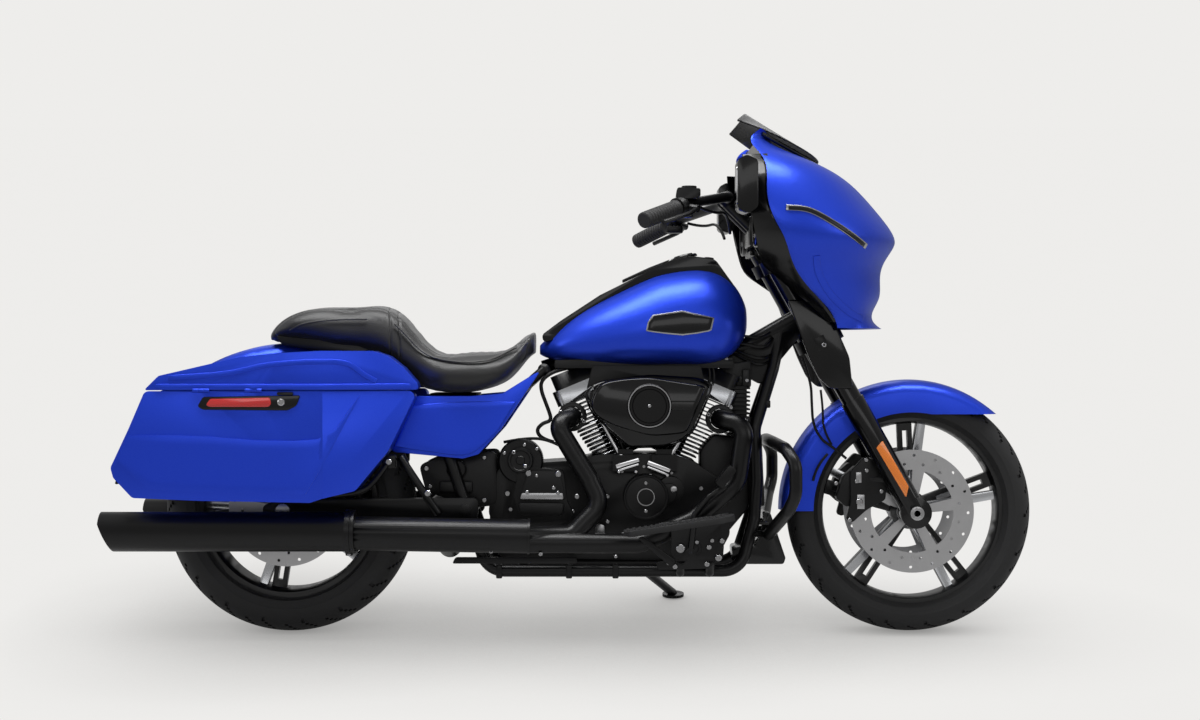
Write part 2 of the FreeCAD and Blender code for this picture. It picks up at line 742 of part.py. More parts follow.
def rear_caliper():
    """A caliper over the back of the right rear disc, on an arm from the swingarm."""
    disc_y = size("rear_disc_offset")
    gap = size("disc_thickness") / 2 + 1.5
    outline = [(-680, 330), (-664, 352), (-664, 392), (-690, 410), (-712, 396), (-716, 346)]
    body = side_plate(outline, disc_y - 20, disc_y + 22, 8)
    centre = Vector(REAR_AXLE.x, disc_y - gap, REAR_AXLE.z)
    slot = rod(centre, centre + Vector(0, 2 * gap, 0), size("rear_disc_radius") + 3)
    near = size("arm_half_spacing") - size("arm_thickness") / 2
    arm = rod(Vector(-684, disc_y + 10, 352), Vector(-684, near - size("seat_gap"), 352), 7)
    piece("rear_caliper", on_side(RIGHT, fused([body.cut(slot), arm])))


# Chassis


BACKBONE = [(544, 0, 842), (352, 0, 732), (-20, 0, 732), (-150, 0, 692)]


STAND_PIVOT = Vector(size("stand_pivot_x"), size("stand_pivot_y"), size("stand_pivot_height"))
STAND_FOOT = Vector(size("stand_foot_x"), size("stand_foot_y"), 0)
STAND_FOOT.z = STAND_FOOT.y * math.tan(math.radians(size("lean_angle")))
STAND_FOLDED = Vector(-200, 20, 10)
STAND_AXIS = (STAND_FOOT - STAND_PIVOT).cross(STAND_FOLDED).normalize()


def downtube(side, grow=0):
    """Return one tube from the steering head down, back under the engine and up to the seat."""
    half = size("rail_half_spacing")
    rail_z = size("rail_height")
    pivot_x, pivot_z = size("swingarm_pivot_x"), size("swingarm_pivot_height")
    return pipe([
        Vector(478, 0, 790), Vector(455, side * 24, 690), Vector(404, side * 62, 535),
        Vector(408, side * 72, 400), Vector(402, side * 76, 300), Vector(362, side * half, rail_z),
        Vector(-290, side * half, rail_z), Vector(pivot_x, side * half, pivot_z),
        Vector(-430, side * 112, 585),
    ], size("rail_radius") + grow, 60)


def frame():
    """Steering head, backbone, twin downtubes, lower rails and the tubes under the riders."""
    low = steering_point(size("lower_clamp_height")) + STEERING_DIRECTION * (size("clamp_thickness") / 2 + 1)
    high = steering_point(size("upper_clamp_height")) - STEERING_DIRECTION * (size("clamp_thickness") / 2 + 1)
    rail = size("rail_radius")
    half = size("rail_half_spacing")
    rail_z = size("rail_height")
    pivot = Vector(size("swingarm_pivot_x"), 0, size("swingarm_pivot_height"))
    fender_rail = size("rear_fender_half_width") + 12 + size("seat_gap")
    parts = [rod(low, high, size("head_tube_radius"))]
    parts.append(side_plate([(560, 862), (352, 744), (330, 700), (424, 648), (470, 706), (548, 800)],
                            -size("gusset_half_width"), size("gusset_half_width"), 12))
    parts.append(pipe([Vector(*point) for point in BACKBONE], size("backbone_radius"), 80))
    parts.append(rod(Vector(-146, -92, 688), Vector(-146, 92, 688), 16))
    for side in (RIGHT, LEFT):
        parts.append(downtube(side))
        parts.append(pipe([
            Vector(-146, side * 88, 688), Vector(-245, side * 108, 600), Vector(-500, side * 112, 596),
            Vector(-640, side * fender_rail, 692), Vector(-860, side * fender_rail, 704),
            Vector(-980, side * fender_rail, 690),
        ], 12, 50))
        parts.append(rod(Vector(-560, side * 90, 600), Vector(-560, side * 138, 600), 6))
        parts.append(rod(Vector(-560, side * 136, 600), Vector(-560, side * 124, 640), 7))
    parts.append(rod(pivot - Vector(0, 134, 0), pivot + Vector(0, 134, 0), 26))
    parts.append(rod(Vector(250, -half, rail_z), Vector(250, half, rail_z), rail * 0.8))
    parts.append(rod(Vector(-200, -half, rail_z), Vector(-200, half, rail_z), rail * 0.8))
    parts.append(rod(STAND_PIVOT - STAND_AXIS * 15, STAND_PIVOT + STAND_AXIS * 30, 8))
    stand_root = Vector(STAND_PIVOT.x, half, rail_z)
    parts.append(pipe([stand_root, stand_root + STAND_AXIS * 34, STAND_PIVOT + STAND_AXIS * 27], 8, 10))
    for side in (RIGHT, LEFT):
        parts += [rod(Vector(x, side * 60, rail_z), Vector(x, side * 60, top), 14)
                  for x, top in ((250, 192.2), (-200, 198.6))]
        parts += [rod(Vector(x, side * 110, 598), Vector(x, side * (150 - size("seat_gap")), 598), 7)
                  for x in (-350, -440)]
        for x in (-720, -950):
            parts.append(rod(Vector(x, side * 124, 699), Vector(x, side * 146, 608), 8))
            bag_face = size("bag_inner_face") - size("seat_gap")
            parts.append(rod(Vector(x, side * 134, 606), Vector(x, side * bag_face, 606), 15))
    parts.append(Part.makeBox(120, 216, 31, Vector(-440, -108, 596)))
    bore = rod(low - STEERING_DIRECTION * 60, high + STEERING_DIRECTION * 60,
               size("stem_radius") + size("seat_gap"))
    pin = rod(pivot - Vector(0, 200, 0), pivot + Vector(0, 200, 0), 14 + size("seat_gap"))
    piece("frame", fused(parts).cut(bore).cut(pin))


def swingarm():
    """Two box arms joined by a cross tube, with the pivot bolt through the frame."""
    height = size("arm_height") / 2
    pivot_x, pivot_z = size("swingarm_pivot_x"), size("swingarm_pivot_height")
    near = size("arm_half_spacing") - size("arm_thickness") / 2
    far = near + size("arm_thickness")
    end = REAR_AXLE.x
    outline = [(pivot_x + 32, pivot_z - height), (pivot_x + 32, pivot_z + height),
               (end - 10, REAR_AXLE.z + height), (end - 52, REAR_AXLE.z + 12),
               (end - 52, REAR_AXLE.z - 12), (end - 10, REAR_AXLE.z - height)]
    arm = side_plate(outline, near, far, 14)
    cross = rod(Vector(-432, -near - 2, pivot_z), Vector(-432, near + 2, pivot_z), 22)
    bolt = rod(Vector(pivot_x, -far - 8, pivot_z), Vector(pivot_x, far + 8, pivot_z), 14)
    peg = rod(Vector(-628, 92, 345), Vector(-628, near + 4, 345), 6)
    whole = fused([arm, mirrored(arm), cross, bolt, peg, mirrored(peg)])
    hole = rod(REAR_AXLE - Vector(0, 300, 0), REAR_AXLE + Vector(0, 300, 0),
               size("axle_radius") + size("seat_gap"))
    piece("swingarm", whole.cut(hole))


def shocks():
    """Two coil-over shocks between the arms and the seat rails."""
    y = 112
    low, high = Vector(-628, y, 345), Vector(-560, y, 600)
    along = (high - low).normalize()
    across = Vector(0, 12, 0)
    body = rod(low, high, 10)
    spring = rod(low + along * 46, high - along * 60, 21)
    whole = fused([body, spring, rod(low - across, low + across, 15), rod(high - across, high + across, 13)])
    for centre in (low, high):
        whole = whole.cut(rod(centre - across * 3, centre + across * 3, 6 + size("seat_gap")))
    piece("shocks", both_sides(whole))


def rear_pulley():
    """The toothed belt wheel on the left of the rear hub."""
    body = doc.addObject("PartDesign::Body", "rear_pulley")
    near = "(sizes.rear_disc_offset - sizes.disc_thickness / 2 + sizes.seat_gap)"
    turned(body, "rear_pulley_turn", [
        (near, "sizes.axle_radius + 12"), (f"{near} + sizes.pulley_width", "sizes.axle_radius + 12"),
        (f"{near} + sizes.pulley_width", "sizes.pulley_inner * 0.6"),
        (f"{near} + sizes.pulley_width * 0.6", "sizes.pulley_inner"),
        (f"{near} + sizes.pulley_width * 0.6", "sizes.pulley_radius - 12"),
        (f"{near} + sizes.pulley_width", "sizes.pulley_radius - 8"),
        (f"{near} + sizes.pulley_width", "sizes.pulley_radius"),
        (near, "sizes.pulley_radius"),
    ])
    finish(body, "rear_pulley", Placement(REAR_AXLE, Rotation()))


def engine():
    """The crankcase with its covers, and two finned cylinders in a vee."""
    case_outline = [(-262, 200), (300, 192), (338, 262), (318, 400), (232, 456), (175, 470), (60, 470),
                    (0, 468), (-80, 452), (-258, 440), (-286, 380), (-286, 260)]
    case = side_plate(case_outline, -96, 96, 30)
    crank = Vector(size("crank_x"), 0, size("crank_height"))
    cam = rod(crank + Vector(0, -90, 0), crank + Vector(0, -150, 0), size("cam_cover_radius"))
    cam_tail = rod(crank + Vector(64, -90, 18), crank + Vector(64, -138, 18), 34)
    gear = side_plate([(-210, 440), (-95, 430), (-85, 350), (-60, 300), (-200, 290), (-222, 360)],
                      -90, -132, 16)
    cap = rod(Vector(-205, -90, 455), Vector(-205, -142, 455), 33)
    piece("crankcase", fused([case, cam, cam_tail, gear, cap]))
    cover = side_plate([(-300, 300), (-268, 236), (-150, 222), (150, 240), (232, 288), (244, 372),
                        (196, 440), (80, 462), (-210, 432), (-292, 396)], 96.3, 168, 36)
    bulge = side_plate([(40, 262), (150, 262), (214, 310), (214, 400), (150, 440), (40, 440), (0, 350)],
                       160, 186, 36)
    piece("primary_cover", fused([cover, bulge]))
    for name, lean in (("rear_cylinder", -1), ("front_cylinder", 1)):
        shape = cylinder()
        turn = Rotation(AXIS_Y, lean * size("cylinder_tilt"))
        if lean < 0:
            turn = turn.multiply(Rotation(AXIS_Z, 180))
        shape.Placement = Placement(crank, turn)
        under_tank = size("tank_floor") - size("seat_gap")
        roof = side_plate([(-400, under_tank), (600, under_tank), (600, 900), (-400, 900)], -200, 200, 1)
        rail_end = rod(Vector(-146, -200, 688), Vector(-146, 200, 688), 17)
        piece(name, shape.cut(side_plate(case_outline, -96, 96, 30)).cut(roof).cut(rail_end))


def cylinder():
    """Return one upright finned barrel with its head and rocker box, outer side to +X."""
    tilt = math.radians(size("cylinder_tilt"))
    top = size("fin_start") + size("fin_pitch") * size("fin_count")
    parts = [Part.makeCylinder(size("barrel_radius"), top - 108, Vector(0, 0, 118))]
    for number in range(int(size("fin_count"))):
        up = size("fin_start") + number * size("fin_pitch")
        inner = up * math.tan(tilt) - 6
        outer = 84 + (up - size("fin_start")) * 0.2
        plan = rounded_wire([Vector(-inner, -82, up), Vector(outer, -82, up), Vector(outer, 82, up),
                             Vector(-inner, 82, up)], 24)
        parts.append(Part.Face(plan).extrude(Vector(0, 0, size("fin_thickness"))))
    joint = top + size("head_height")
    inner = top * math.tan(tilt) - 8
    for low, high, back, reach, wide in ((top - 6, joint, inner, 122, 86),
                                         (joint, joint + size("rocker_height"), inner - 30, 112, 74)):
        plan = rounded_wire([Vector(-back, -wide, low), Vector(reach, -wide, low),
                             Vector(reach, wide, low), Vector(-back, wide, low)], 22)
        parts.append(Part.Face(plan).extrude(Vector(0, 0, high - low)))
    return fused(parts)


def air_cleaner():
    """A broad cover on the right of the vee, with a round cap in its middle."""
    outline = [(-45, 633), (0, 660), (126, 676), (258, 668), (292, 652), (290, 634), (246, 530),
               (218, 505), (175, 487), (72, 484), (50, 505), (-26, 578)]
    backing = side_plate(outline, -98, -112, 18)
    studs = [rod(Vector(x, -82.3, 616), Vector(x, -100, 616), 9) for x in (14, 222)]
    lower = side_wire(outline, -112, 22)
    middle = Vector(125, -112, 585)
    face = lower.copy()
    grow = Matrix()
    grow.scale(0.8, 1, 0.8)
    face = face.transformGeometry(grow)
    face.translate(Vector(middle.x * 0.2, -95, middle.z * 0.2))
    cover = Part.makeLoft([lower, face], True, True)
    cap = rod(Vector(128, -200, 590), Vector(128, -216, 590), 56)
    piece("air_cleaner", fused([backing, cover, cap] + studs))


def pushrods():
    """Slanted tubes between the crankcase and the heads, and bright blocks at their feet."""
    sets = []
    for foot, head in (((66, 470.3), (20, 592)), ((166, 470.3), (218, 592))):
        tube = rod(Vector(foot[0], -89, foot[1]), Vector(head[0], -89, head[1]), 6.5)
        ground = Part.makeBox(80, 40, 10, Vector(foot[0] - 40, -110, foot[1] - 10))
        block = Part.makeBox(66, 26, 42, Vector(foot[0] - 33, -122.3, 426))
        bridge = Part.makeBox(40, 34, 12, Vector(foot[0] - 20, -116, foot[1]))
        neck = Part.makeBox(40, 14, 46, Vector(foot[0] - 20, -112, 430))
        sets.append(fused([tube.cut(ground), block, bridge, neck]))
    piece("pushrods", Part.makeCompound(sets))


def exhaust():
    """Two headers, their collector, the cross tube and both mufflers."""
    radius = size("header_radius")
    offset = size("muffler_offset")
    end_z = size("muffler_height") - 4
    wide = size("collector_radius")
    rear = pipe([Vector(-72, -82.3, 566), Vector(-72, -132, 566), Vector(-112, -170, 548),
                 Vector(-26, -175, 406), Vector(2, -180, 342), Vector(-70, -200, 268),
                 Vector(-190, -offset + 20, 268)], radius, 45)
    front = pipe([Vector(312, -82.3, 560), Vector(312, -132, 560), Vector(372, -168, 545),
                  Vector(350, -165, 400), Vector(238, -178, 306), Vector(100, -195, 246),
                  Vector(-190, -offset + 20, 250)], radius, 60)
    collector = rod(Vector(-178, -offset + 12, 268), Vector(-625, -offset, end_z), wide)
    cross = pipe([Vector(-385, -offset + 10, 262), Vector(-385, -150, 236), Vector(-385, 150, 236),
                  Vector(-430, offset, 262), Vector(-625, offset, end_z)], 30, 60)
    tail = rod(Vector(-560, offset, end_z), Vector(-625, offset, end_z), wide)
    piece("exhaust_pipes", fused([rear, front, collector, cross, tail]))


def muffler(side):
    """A long muffler with a slashed open tip."""
    y, z = size("muffler_offset"), size("muffler_height")
    radius = size("muffler_radius")
    front, back = -628, -1256
    shell = rod(Vector(front, y, z), Vector(back, y, z), radius)
    shell = fused([shell, rod(Vector(front + 12, y, z), Vector(front, y, z), radius + 5)])
    bore = rod(Vector(back + 580, y, z), Vector(back - 5, y, z), radius - 4)
    slash = side_plate([(back - 20, z - 80), (back + 46, z - 80), (back - 20, z + 66)], y - 80, y + 80, 1)
    name = "muffler_left" if side == LEFT else "muffler_right"
    socket = rod(Vector(front + 20, y, z - 4), Vector(front - 2, y, z - 4),
                 size("collector_radius") + size("seat_gap"))
    piece(name, on_side(side, shell.cut(bore).cut(slash).cut(socket)))


# Bodywork of the chassis


TANK_SECTIONS = [
    # x, half width, top, bottom, as shares and heights along the tank
    (-158, 0.18, 752, 729), (-120, 0.45, 789, 716), (-50, 0.7, 841, 711), (50, 0.9, 893, 708),
    (150, 1.0, 936, 707), (240, 1.0, 951, 708), (310, 0.93, 941, 716), (360, 0.7, 900, 748),
    (384, 0.32, 850, 792),
]
TANK_SECTION = [(0, 1), (0.35, 0.985), (0.62, 0.9), (0.87, 0.7), (1, 0.42), (0.93, 0.16), (0.7, 0),
                (0.3, -0.02), (0, -0.02)]


def tank_shape(grow=0):
    """Return the fuel tank's solid."""
    sections = []
    for x, share, top, bottom in TANK_SECTIONS:
        half = share * size("tank_half_width") + grow
        tall = top - bottom + 2 * grow
        right = [Vector(x, -a * half, bottom - grow + b * tall) for a, b in TANK_SECTION]
        left = [Vector(x, a * half, bottom - grow + b * tall) for a, b in TANK_SECTION[-2:0:-1]]
        sections.append(smooth_ring(right + left))
    return skin(sections)


def tank():
    """The fuel tank and the console along its crest."""
    solid = tank_shape()
    tunnel_half = size("backbone_radius") + size("seat_gap")
    tunnel = side_plate([(420, 650), (420, 830), (352, 766), (-20, 766), (-104, 742), (-180, 722),
                         (-180, 650)], -tunnel_half, tunnel_half, 12)
    wall = size("tank_wall")
    spine = side_plate([(420, 650), (420, 840), (350, 774), (-20, 774), (-104, 750), (-180, 730),
                        (-180, 650)], -tunnel_half - wall, tunnel_half + wall, 12)
    span = Part.makeBox(524, 600, 500, Vector(-150, -300, 600))
    piece("fuel_tank", solid.cut(tunnel).cut(tank_shape(-wall).common(span).cut(spine)))
    outline = [(-148, 760), (-152, 779), (-104, 815), (0, 883), (132, 949), (190, 976), (238, 985),
               (300, 978), (322, 948), (352, 906), (352, 862), (240, 850), (0, 800)]
    strip = side_plate(outline, -size("console_half_width"), size("console_half_width"), 30)
    core = strip.cut(solid)
    piece("tank_console", max(core.Solids, key=lambda part: part.Volume))


SEAT_SECTIONS = [
    # x, half width, bottom, top
    (-860, 84, 758, 780), (-832, 122, 761, 812), (-766, 140, 760, 843), (-680, 143, 744, 850),
    (-590, 145, 732, 854), (-535, 146, 702, 842), (-485, 146, 660, 792), (-423, 172, 634, 732),
    (-357, 190, 628, 728), (-277, 186, 642, 731), (-212, 150, 694, 760), (-170, 92, 734, 790),
]


def seat():
    """A stepped two-up saddle."""
    sections = []
    for x, half, bottom, top in SEAT_SECTIONS:
        tall = top - bottom
        right = [(0, 1), (0.5, 0.98), (0.85, 0.86), (1, 0.5), (0.9, 0.12), (0.6, 0), (0, 0)]
        points = [Vector(x, -a * half, bottom + b * tall) for a, b in right]
        points += [Vector(x, a * half, bottom + b * tall) for a, b in right[-2:0:-1]]
        sections.append(smooth_ring(points))
    piece("seat", skin(sections))


def rear_fender():
    """A wide fender over the rear tyre, carried by the seat rails."""
    outer = size("rear_fender_radius")
    half = size("rear_fender_half_width")
    wall = size("fender_wall")
    skirt = outer - 110
    side = [(half, skirt), (half, outer - 40), (half - 12, outer - 18), (half - 36, outer - 4)]
    outside = [(-y, radius) for y, radius in side] + [(0, outer)] + list(reversed(side))
    inside = [(y * (half - wall) / half, max(radius - wall, skirt)) for y, radius in outside]
    piece("rear_fender", spun(outside + list(reversed(inside)), REAR_AXLE, 62, 112))


def tail_lamp():
    """A wide lamp on the fender's tail, with its bracket for a number plate below."""
    box = side_plate([(-1196, 606), (-1150, 612), (-1138, 560), (-1206, 548)], -70, 70, 10)
    room = rod(REAR_AXLE - Vector(0, 300, 0), REAR_AXLE + Vector(0, 300, 0),
               size("rear_fender_radius") + size("seat_gap"))
    piece("tail_lamp", box.cut(room))


BAG_OUTLINE = [(-1129, 636), (-1170, 540), (-1214, 446), (-1207, 421), (-1160, 371), (-991, 364),
               (-719, 359), (-690, 369), (-612, 386), (-533, 484), (-461, 636)]
LID_OUTLINE = [(-1131, 0), (-1120, 649), (-1095, 674), (-991, 698), (-892, 721), (-793, 731),
               (-694, 736), (-570, 736), (-533, 723), (-496, 694), (-463, 656), (-459, 0)]


def bag_chamfer():
    """Return the wedge that slants a bag's front outer corner."""
    points = [Vector(-690, size("bag_outer_face") + 1, 300), Vector(-440, 215, 300),
              Vector(-440, size("bag_outer_face") + 1, 300)]
    return Part.Face(Part.makePolygon(points + points[:1])).extrude(Vector(0, 0, 500))


def saddlebag(side):
    """A hard bag, open at the top, under a lid with its own walls."""
    near, far = size("bag_inner_face"), size("bag_outer_face")
    wall = size("bag_wall")
    part_z = size("bag_parting_height")
    lip = part_z + size("seat_gap")
    name = "left" if side == LEFT else "right"
    wedge = bag_chamfer()
    body = side_plate(BAG_OUTLINE, near, far, 16).cut(wedge)
    inner = Part.Face(side_wire(BAG_OUTLINE, near + wall, 16)).makeOffset2D(-wall)
    inner = inner.extrude(Vector(0, far - near - 2 * wall, 0))
    moved = wedge.copy()
    moved.translate(Vector(-wall * 1.1, -wall, 0))
    inner = inner.cut(moved)
    mouth = inner.common(Part.makeBox(2000, 1000, 60, Vector(-1500, 0, 570)))
    mouth.translate(Vector(0, 0, 60))
    level = Part.makeBox(2000, 1000, 400, Vector(-1500, 0, part_z))
    gap = size("seat_gap")
    knuckle, hinge_pin = size("lid_knuckle_radius"), size("lid_pin_radius")
    hinge_y, hinge_z = far + knuckle * 0.4, part_z + gap / 2
    span = size("lid_knuckle_length")

    def barrel(start, end, radius):
        """Return a round bar on the lid's hinge line."""
        return rod(Vector(start, hinge_y, hinge_z), Vector(end, hinge_y, hinge_z), radius)

    bag_knuckles, lid_knuckles, pins, bag_room, lid_room = [], [], [], [], []
    for start in (size("lid_hinge_back"), size("lid_hinge_front")):
        first, second, third, fourth = start, start + span, start + 2 * span, start + 3 * span
        bag_knuckles += [barrel(first, second - gap, knuckle), barrel(third + gap, fourth, knuckle)]
        pins.append(barrel(first, fourth, hinge_pin))
        lid_knuckles.append(barrel(second, third, knuckle))
        bag_room.append(barrel(second - gap, third + gap, knuckle + 1))
        lid_room += [barrel(first - 1, second, knuckle + 1), barrel(third, fourth + 1, knuckle + 1)]
    shell = body.cut(inner).cut(mouth).cut(level).cut(fused(bag_room))
    piece(f"bag_{name}", on_side(side, fused([shell] + bag_knuckles + pins)))
    outline = [(x, z if z else lip) for x, z in LID_OUTLINE]
    lid = side_plate(outline, near, far, 16).cut(wedge)
    below = [(x, z if z else lip - 20) for x, z in LID_OUTLINE]
    hollow = Part.Face(side_wire(below, near + wall, 16)).makeOffset2D(-wall)
    hollow = hollow.extrude(Vector(0, far - near - 2 * wall, 0)).cut(moved)
    trim = Part.makeBox(2000, 1000, 60, Vector(-1500, 0, lip - 60))
    cover = fused([lid.cut(hollow).cut(trim).cut(fused(lid_room))] + lid_knuckles)
    bore = barrel(size("lid_hinge_back") - 2, size("lid_hinge_front") + 4 * span, hinge_pin + gap)
    piece(f"lid_{name}", on_side(side, cover.cut(bore)))


def side_cover(side):
    """A panel below the seat."""
    outline = [(-485, 621), (-332, 621), (-250, 628), (-171, 677), (-153, 685), (-255, 534), (-312, 471),
               (-352, 460), (-541, 478), (-498, 611)]
    name = "side_cover_left" if side == LEFT else "side_cover_right"
    piece(name, on_side(side, side_shell(outline, 134.5, 154, 4, 14)))


def engine_guard():
    """One bent tube in front of the engine, looped out to both sides."""
    half = size("guard_half_width")
    side = [Vector(437, 104, 262), Vector(470, half - 30, 340), Vector(484, half, 380),
            Vector(484, half, 456), Vector(462, half - 34, 492), Vector(449, 100, 500)]
    points = side + [Vector(x, -y, z) for x, y, z in reversed(side)]
    loop = pipe(points, size("guard_radius"), 45)
    feet = [rod(Vector(440, 107 * each, 262), Vector(398, 92 * each, 262), 8) for each in (RIGHT, LEFT)]
    guard = fused([loop] + feet)
    for each in (RIGHT, LEFT):
        guard = guard.cut(downtube(each, size("seat_gap")))
    piece("engine_guard", max(guard.Solids, key=lambda part: part.Volume))


def radiator_cowl():
    """The oil cooler between the downtubes and the chin cover below it."""
    core = side_plate([(388, 330), (432, 330), (424, 520), (388, 520)], -40, 40, 6)
    bars = [rod(Vector(x, -reach, z), Vector(x, reach, z), 6)
            for x, reach, z in ((408, 62, 400), (405, 56, 505))]
    tubes = fused([downtube(side, size("seat_gap")) for side in (RIGHT, LEFT)])
    cooler = fused([core] + bars).cut(tubes)
    piece("radiator", max(cooler.Solids, key=lambda part: part.Volume))
    tabs = [rod(Vector(440, side * 55, 286), Vector(408, side * 74, 290), 5) for side in (RIGHT, LEFT)]
    chin = side_plate([(430, 318), (446, 312), (485, 196), (480, 180), (348, 180), (346, 224),
                       (402, 228), (416, 244)], -60, 60, 8)
    cowl = fused([chin] + tabs).cut(tubes)
    piece("chin_cowl", max(cowl.Solids, key=lambda part: part.Volume))


def board_tilted(shape):
    """Return a shape drawn for a level floorboard, raised at its front like the board."""
    middle = Vector(size("board_front") - size("board_length") / 2, 0, size("board_height"))
    turned_shape = shape.copy()
    turned_shape.rotate(middle, AXIS_Y, -size("board_tilt"))
    return turned_shape


def footboard(side):
    """A folding floorboard, hinged along its inner edge."""
    axis_y, axis_z = size("board_inner_face"), size("board_height")
    knuckle, thick = size("board_knuckle_radius"), size("board_thickness")
    near, far = axis_y + knuckle * 1.6, axis_y + size("board_width")
    front, back, low = size("board_front"), size("board_front") - size("board_length"), axis_z - thick / 2
    plan = rounded_wire([Vector(back, near, low), Vector(front, near, low), Vector(front, far - 26, low),
                         Vector(front - 40, far, low), Vector(back + 20, far, low)], 18)
    parts = [Part.Face(plan).extrude(Vector(0, 0, thick))]
    for x in (150, 300):
        parts.append(rod(Vector(x, axis_y, axis_z), Vector(x + 26, axis_y, axis_z), knuckle))
        parts.append(Part.makeBox(26, near - axis_y + 2, knuckle * 1.2,
                                  Vector(x, axis_y, axis_z - knuckle * 0.6)))
    bore = rod(Vector(100, axis_y, axis_z), Vector(400, axis_y, axis_z),
               size("board_pin_radius") + size("seat_gap"))
    name = "footboard_left" if side == LEFT else "footboard_right"
    piece(name, on_side(side, board_tilted(fused(parts).cut(bore))))


def footboard_mount(side):
    """The bracket that carries a floorboard from the lower rail, with the foot lever on it."""
    axis_y, axis_z = size("board_inner_face"), size("board_height")
    near = axis_y - 6
    knuckle, gap = size("board_knuckle_radius"), size("seat_gap")
    hinge = [side_plate([(326, axis_z - 18), (326, axis_z + 4), (150, axis_z + 4), (150, axis_z - 18)],
                        near - 14, near - 5, 4)]
    for start, end in ((140, 150 - gap), (176 + gap, 300 - gap), (326 + gap, 336)):
        hinge.append(rod(Vector(start, axis_y, axis_z), Vector(end, axis_y, axis_z), knuckle))
    hinge.append(Part.makeBox(20, axis_y - near + 12, knuckle,
                              Vector(230, near - 12, axis_z - knuckle / 2)))
    hinge.append(rod(Vector(140, axis_y, axis_z), Vector(336, axis_y, axis_z), size("board_pin_radius")))
    bracket = [(181, 286), (243, 292), (304, 300), (314, 240), (312, 212), (273, 185), (195, 182),
               (144, 182), (144, 201), (181, 207)]
    parts = [board_tilted(fused(hinge)), side_plate(bracket, near - 16, near - 6, 8)]
    rail_z = size("rail_height")
    rail_face = size("rail_half_spacing") + size("rail_radius") + gap
    parts += [pipe([Vector(x, rail_face, rail_z), Vector(x, rail_face + 44, rail_z),
                    Vector(x, near - 8, 206)], 11, 30) for x in (205, 280)]
    lever_y = near - 4
    route = [(228, 222), (241, 322), (276, 366), (318, 394)] if side == RIGHT else [
        (228, 222), (250, 316), (310, 350), (380, 350)]
    parts.append(pipe([Vector(x, lever_y, z) for x, z in route], 8, 24))
    parts.append(rod(Vector(228, near - 18, 222), Vector(228, near + 2, 222), 15))
    if side == RIGHT:
        pad = [(290, 404), (326, 450), (344, 436), (308, 390)]
        parts.append(side_plate(pad, lever_y - 12, lever_y + 44, 6))
    else:
        parts.append(rod(Vector(381, lever_y - 14, 350), Vector(381, lever_y + 48, 350), 12))
    name = "board_mount_left" if side == LEFT else "board_mount_right"
    piece(name, on_side(side, fused(parts)))


def side_stand():
    """The stand's leg and its round foot, flat on the floor."""
    up = Rotation(AXIS_X, size("lean_angle")).multVec(AXIS_Z)
    thick = size("stand_foot_thickness")
    pad = Part.makeCylinder(size("stand_foot_radius"), thick, STAND_FOOT, up)
    leg = rod(STAND_PIVOT, STAND_FOOT + up * thick, size("stand_radius"))
    eye = rod(STAND_PIVOT - STAND_AXIS * 12, STAND_PIVOT + STAND_AXIS * 12, 20)
    under = Part.makeCylinder(200, 100, STAND_FOOT, up * -1)
    pin = rod(STAND_PIVOT - STAND_AXIS * 60, STAND_PIVOT + STAND_AXIS * 60, 8 + size("seat_gap"))
    piece("side_stand", fused([leg, pad, eye]).cut(under).cut(pin))


for wheel_end, wheel_axle in (("front", FRONT_AXLE), ("rear", REAR_AXLE)):
    tyre(wheel_end, wheel_axle)
    rim(wheel_end, wheel_axle)
brake_disc("front", RIGHT)
brake_disc("front", LEFT)
brake_disc("rear", RIGHT)
rear_pulley()
rear_caliper()
wheel_shaft("front", "(sizes.fork_half_spacing + sizes.slider_radius + sizes.seat_gap "
                     "+ sizes.axle_end_length)", "sizes.axle_bore_radius")
wheel_shaft("rear", "(sizes.arm_half_spacing + sizes.arm_thickness / 2 + sizes.seat_gap "
                    "+ sizes.axle_end_length)", "0 mm")
for each_side in (RIGHT, LEFT):
    grip(each_side)
    hand_control(each_side)
    mirror(each_side)
    muffler(each_side)
    saddlebag(each_side)
    side_cover(each_side)
    footboard(each_side)
    footboard_mount(each_side)
fork_legs()
triple_clamp()
front_calipers()
front_fender()
fairing()
headlamp()
windshield()
handlebar()
frame()
swingarm()
shocks()
engine()
air_cleaner()
pushrods()
exhaust()
tank()
seat()
rear_fender()
tail_lamp()
engine_guard()
radiator_cowl()
side_stand()
doc.recompute()


def check_document():
    """Stop if any object failed or any sub-part has no sound solid."""
    for item in doc.Objects:
        if "Invalid" in item.State or "Error" in item.State:
            raise RuntimeError(f"{item.Label} failed: {item.State}")
    for built in pieces:
        if built.Shape.isNull() or not built.Shape.isValid() or not built.Shape.Solids:
            raise RuntimeError(f"{built.Label} has no valid solid")


def stand_on_floor():
    """Move the origin to the floor under the middle of the leaning machine."""
    boxes = [built.Shape.optimalBoundingBox(True, False) for built in pieces]
    shift = Vector(-(min(box.XMin for box in boxes) + max(box.XMax for box in boxes)) / 2,
                   -(min(box.YMin for box in boxes) + max(box.YMax for box in boxes)) / 2,
                   -min(box.ZMin for box in boxes))
    for built in pieces:
        built.Placement = Placement(shift, Rotation()).multiply(built.Placement)


def export_parts():
    """Write one STEP file for each sub-part."""
    os.makedirs("parts", exist_ok=True)
    for built in pieces:
        built.Shape.exportStep(os.path.join("parts", f"{built.Label}.step"))


check_document()
stand_on_floor()
export_parts()
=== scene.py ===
"""A touring cruiser motorcycle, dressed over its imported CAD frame."""

from __future__ import annotations

import json
import logging
import math
from dataclasses import dataclass
from enum import Enum
from typing import Callable, Iterable, Sequence

import bpy
from mathutils import Matrix, Vector

